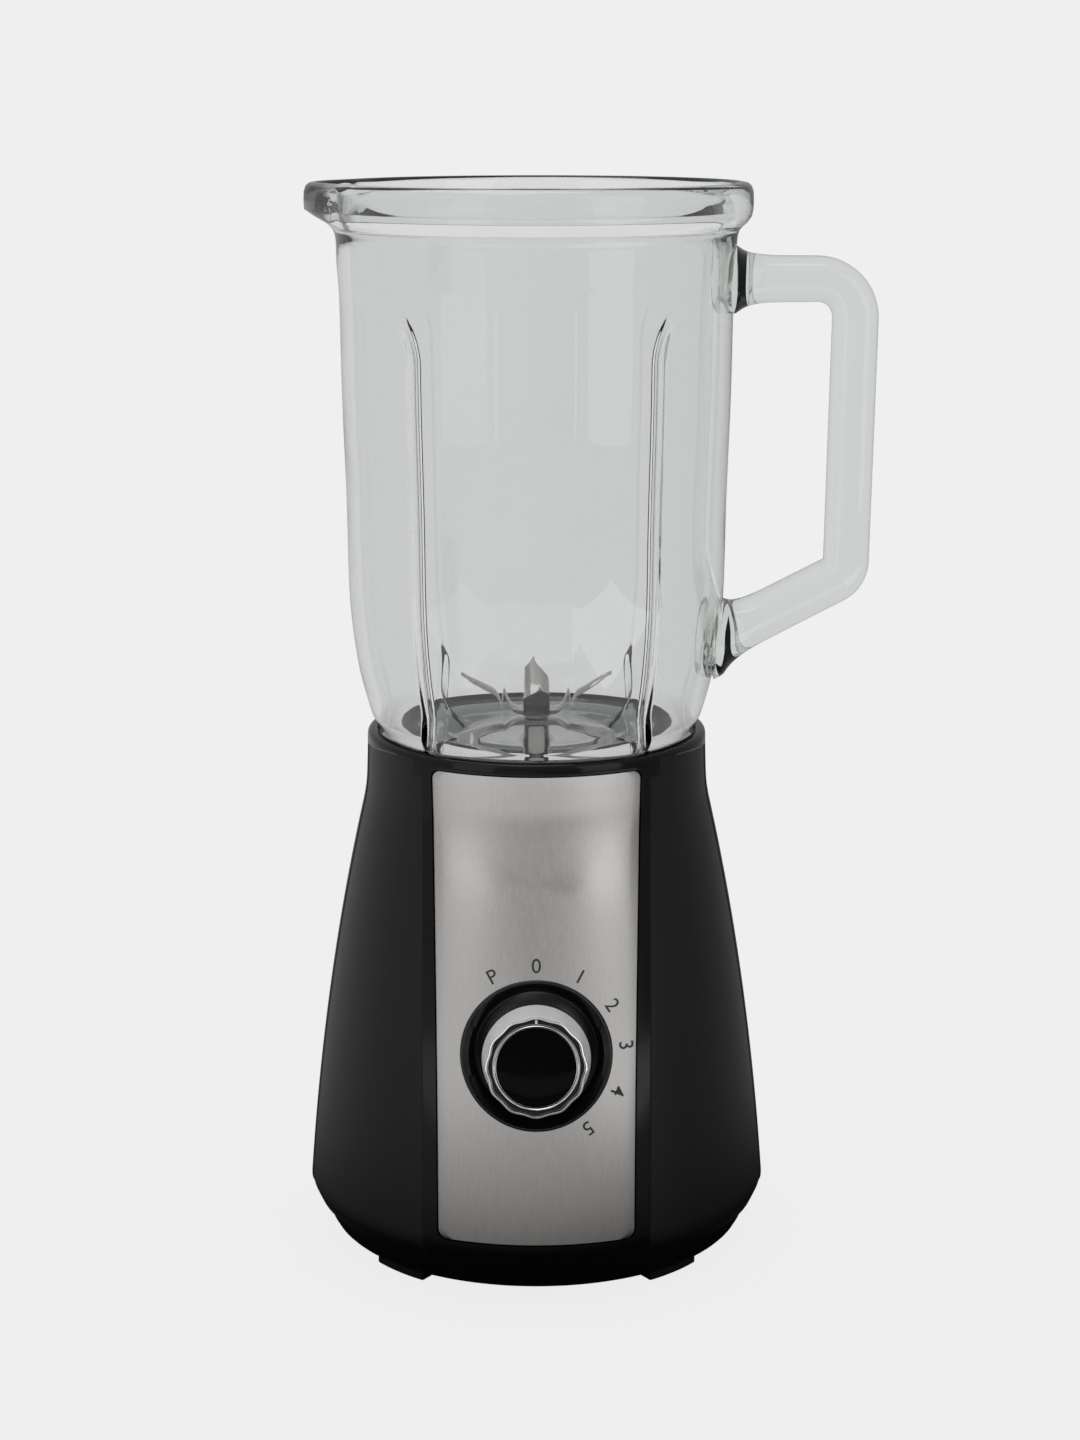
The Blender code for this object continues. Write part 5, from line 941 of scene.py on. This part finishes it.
def glass_finish():
    """Clear glass, a little wavy from the mould, darker where it is thick, with painted shade on the spout's
    lip.
    """
    made = bpy.data.materials.new("clear_glass")
    made.use_nodes = True
    tree = made.node_tree
    where = node(tree, "TexCoord").outputs["Object"]
    wave = node(tree, "TexNoise", {"Vector": where, "Scale": 28, "Detail": 1}).outputs["Fac"]
    tint = node(tree, "ValToRGB", {0: wave})
    tint.color_ramp.elements[0].color = (0.852, 0.855, 0.853, 1)
    tint.color_ramp.elements[1].color = (0.868, 0.871, 0.869, 1)
    rough = node(tree, "MapRange", {"Value": wave, "To Min": 0.0, "To Max": 0.02})
    bump = node(tree, "Bump", {"Height": wave, "Strength": 0.5, "Distance": 0.0003})
    # The spout's lip is painted darker in the base colour: painted shade for the dark look the lip gets from
    # internal reflection.
    painted_lip_shade = node(tree, "MapRange", {"Value": node(tree, "SeparateXYZ", {0: where}).outputs["X"],
                                  "From Min": AXIS.x - 0.0700, "From Max": AXIS.x - 0.0670, "To Min": 0.16})
    tint_with_painted_shade = node(tree, "VectorMath", {0: tint.outputs["Color"], "Scale": painted_lip_shade.outputs[0]}, operation="SCALE")
    depth = node(tree, "VolumeAbsorption", {"Color": (0.80, 0.835, 0.81, 1), "Density": 45})
    plug(tree, tree.nodes["Principled BSDF"], {
        "Transmission Weight": 1.0, "IOR": 1.5, "Base Color": tint_with_painted_shade.outputs[0],
        "Roughness": rough.outputs[0], "Normal": bump.outputs["Normal"]})
    plug(tree, tree.nodes["Material Output"], {"Volume": depth.outputs[0]})
    return made


JUG_GLASS = glass_finish()
jug = shaped(jug_mesh(), "UNION", handle_mesh())
jug = smoothed(jug, 50)
piece("jug", jug, "jug", "clear_glass", ["glass_jug"], JUG_GLASS)

# ---- Blade unit -------------------------------------------------------------------------------
# Two stamped stainless blades, six wings in all, clamped on a steel shaft by a cap nut; the shaft
# runs in a bearing unit that is screwed through the jug's floor with a seal on each side.
BLADE_HALF_WIDTH, BLADE_THICKNESS = 0.0046, 0.0012
BLADE_BORE = 0.0028
UNIT_FLANGE, UNIT_BODY, BUSH_SEAT, SHAFT_HOLE = 0.0063, 0.0050, 0.00372, 0.00262
UPPER_Z, LOWER_Z = levels_of("blade_upper")[0], levels_of("blade_lower")[1] - BLADE_THICKNESS
BLADE_STEEL = finish_of("blade_steel", (0.36, 0.36, 0.35), 0.24, metallic=1.0, spread=0.06, grain=900,
                        stretch=(1, 1, 0.2), relief=0.00001, tone=0.06)
OILED_STEEL = finish_of("oiled_steel", (0.40, 0.40, 0.41), 0.28, metallic=1.0, spread=0.08, grain=1500,
                        stretch=(1, 1, 6), relief=0.00001, tone=0.08)


def blade_mesh(name, wings, reach, rise, z):
    """Stamped blade: a square middle, its wings bent and ground thin at their edges."""
    half, across, along = BLADE_HALF_WIDTH, 10, 22
    body = bmesh.new()
    rim = {}

    def corner_vert(x, y, level):
        key = (round(x, 6), round(y, 6), level)
        if key not in rim:
            rim[key] = body.verts.new((x, y, z + (BLADE_THICKNESS if level else 0)))
        return rim[key]

    outline = {0: [], 1: []}
    for k in range(4):
        turn = Matrix.Rotation(math.pi / 2 * k, 3, "Z")
        edge = {0: [], 1: []}
        for level in (0, 1):
            for j in range(across + 1):
                spot = turn @ Vector((half, half * (2 * j / across - 1), 0))
                edge[level].append(corner_vert(spot.x, spot.y, level))
            outline[level] += edge[level][:-1]
        if k not in wings:
            for j in range(across):
                body.faces.new((edge[0][j], edge[0][j + 1], edge[1][j + 1], edge[1][j]))
            continue
        for i in range(1, along + 1):
            u = i / along
            x = half + (reach - half) * u
            bend = rise * (eased(u, 0.04, 0.40) * 0.22 + 0.78 * max(u - 0.16, 0) / 0.84)
            right = 1.0 - 0.10 * u - 0.62 * max(u - 0.82, 0) / 0.18
            left = -1.0 + 0.10 * u + 1.05 * eased(u, 0.55, 1.0)
            fresh = {0: [], 1: []}
            for level in (0, 1):
                for j in range(across + 1):
                    v = left + (right - left) * j / across
                    thin = max(eased(j / across, 0, 0.28) * (1 - eased(j / across, 0.72, 1.0)), 0.12)
                    thin = 1 - (1 - thin) * eased(u, 0.05, 0.25)
                    lift = BLADE_THICKNESS * (thin if level else 0)
                    spot = turn @ Vector((x, v * half, 0)) + Vector((0, 0, z + bend + lift))
                    fresh[level].append(body.verts.new(spot))
            for level in (0, 1):
                for j in range(across):
                    body.faces.new((edge[level][j], edge[level][j + 1], fresh[level][j + 1], fresh[level][j]))
            for j in (0, across):
                body.faces.new((edge[0][j], edge[1][j], fresh[1][j], fresh[0][j]))
            edge = fresh
        for j in range(across):
            body.faces.new((edge[0][j], edge[0][j + 1], edge[1][j + 1], edge[1][j]))
    for level in (0, 1):
        body.faces.new(outline[level])
    mesh = finished(name, body, 25)
    low_z, high_z = z - 0.002, z + 0.004
    drill = turned("bore", [(0, low_z), (BLADE_BORE, low_z), (BLADE_BORE, high_z), (0, high_z)], 40)
    mesh = shaped(mesh, "DIFFERENCE", drill)
    return smoothed(mesh, 25)


piece("wings_upper", blade_mesh("wings", (0, 1, 2, 3), 0.0260, 0.0130, UPPER_Z), "blade",
      "blade_steel", ["blade_upper"], BLADE_STEEL)
piece("wings_lower", blade_mesh("wings", (0, 2), 0.0270, -0.0030, LOWER_Z), "blade",
      "blade_steel", ["blade_lower"], BLADE_STEEL)
low_z, high_z = levels_of("blade_cap_nut")
shaft_top = levels_of("blade_shaft")[1]
nut = turned("nut", [
    (0, high_z), (0.0012, high_z - 0.0001), (0.0024, high_z - 0.0005), (0.0034, high_z - 0.0012),
    (0.0040, high_z - 0.0021), (0.0042, high_z - 0.0028), (0.0042, low_z), (0.0028, low_z),
    (0.0028, shaft_top + 0.0003), (0, shaft_top + 0.0003)], 48)
piece("cap_nut", nut, "blade", "blade_steel", ["blade_cap_nut"], BLADE_STEEL)
low_z, high_z = levels_of("blade_bearing_housing")
flange = JUG_FLOOR_Z + 0.0016
unit = turned("unit", [
    (0.0036, high_z), (0.0040, high_z - 0.0002), (0.0042, high_z - 0.0008), (0.0042, flange + 0.0024),
    (0.0045, flange + 0.0016), (0.0054, flange + 0.0010), (0.0061, flange + 0.0006),
    (UNIT_FLANGE, flange + 0.0003), (UNIT_FLANGE, flange), (UNIT_BODY, flange), (UNIT_BODY, low_z),
    (BUSH_SEAT, low_z), (BUSH_SEAT, high_z - 0.0010), (SHAFT_HOLE, high_z - 0.0010),
    (SHAFT_HOLE, high_z)], 72, 35)
piece("bearing_unit", unit, "jug", "blade_steel", ["blade_bearing_housing"], BLADE_STEEL)

# ---- Parts that keep their modelled shape -----------------------------------------------------
# Silicone seals, steel nut and nylon socket under the jug, and inside the base the universal motor,
# with wound copper coils on sheet stacks between two cast brackets, and the phenolic switch.
SEAL_SILICONE = finish_of("seal_silicone", (0.62, 0.62, 0.60), 0.55, grain=1800, relief=0.00002)
BRONZE = finish_of("sintered_bronze", (0.60, 0.42, 0.18), 0.42, metallic=1.0, spread=0.1, grain=5000,
                   relief=0.00003, tone=0.2)
CAST_METAL = finish_of("cast_aluminium", (0.58, 0.59, 0.60), 0.48, metallic=1.0, spread=0.1, grain=1600,
                       relief=0.00006, tone=0.12)
SHEET_STACK = finish_of("sheet_stack", (0.17, 0.17, 0.19), 0.5, metallic=0.9, spread=0.1, grain=900,
                        stretch=(0.05, 0.05, 3.0), relief=0.00008, tone=0.35)
WOUND_WIRE = finish_of("wound_wire", (0.40, 0.13, 0.045), 0.35, metallic=0.3, spread=0.08, grain=1300,
                       stretch=(1, 0.08, 2.0), relief=0.0002, tone=0.4)
COPPER_BARS = finish_of("copper_bars", (0.66, 0.30, 0.15), 0.32, metallic=1.0, spread=0.08, grain=900,
                        stretch=(2, 2, 0.05), relief=0.00006, tone=0.25)
BRUSH_CARBON = finish_of("brush_carbon", (0.025, 0.025, 0.025), 0.6, grain=4000, relief=0.00003)
PHENOLIC = finish_of("phenolic", (0.05, 0.028, 0.016), 0.45, grain=1200, relief=0.00003, tone=0.3)
KEPT = {
    SEAL_SILICONE: ["gasket_upper", "gasket_lower"],
    OILED_STEEL: ["hub_lock_nut", "blade_shaft", "rotor_shaft", "switch_spindle"],
    BLADE_STEEL: ["blade_spacer"],
    COUPLING_NYLON: ["jug_coupling", "cooling_fan"],
    BRONZE: ["blade_bearing_bush", "bearing_upper", "bearing_lower", "brush_holder_front",
             "brush_holder_rear"],
    CAST_METAL: ["motor_bracket_upper", "motor_bracket_lower"],
    SHEET_STACK: ["stator_core", "armature_core"],
    WOUND_WIRE: ["field_coil_left", "field_coil_right", "armature_winding_upper", "armature_winding_lower"],
    COPPER_BARS: ["commutator"],
    BRUSH_CARBON: ["carbon_brush_front", "carbon_brush_rear"],
    PHENOLIC: ["switch_body"],
    ZINC: ["switch_nut"] + [f"motor_screw_{k}" for k in (1, 2, 3, 4)],
    PAD_RUBBER: [f"motor_damper_{k}" for k in (1, 2, 3, 4)],
}
for finish, names in KEPT.items():
    for name in names:
        node = frame["nodes"][name]
        if node.material_slots:
            node.material_slots[0].material = finish
        else:
            node.data.materials.append(finish)
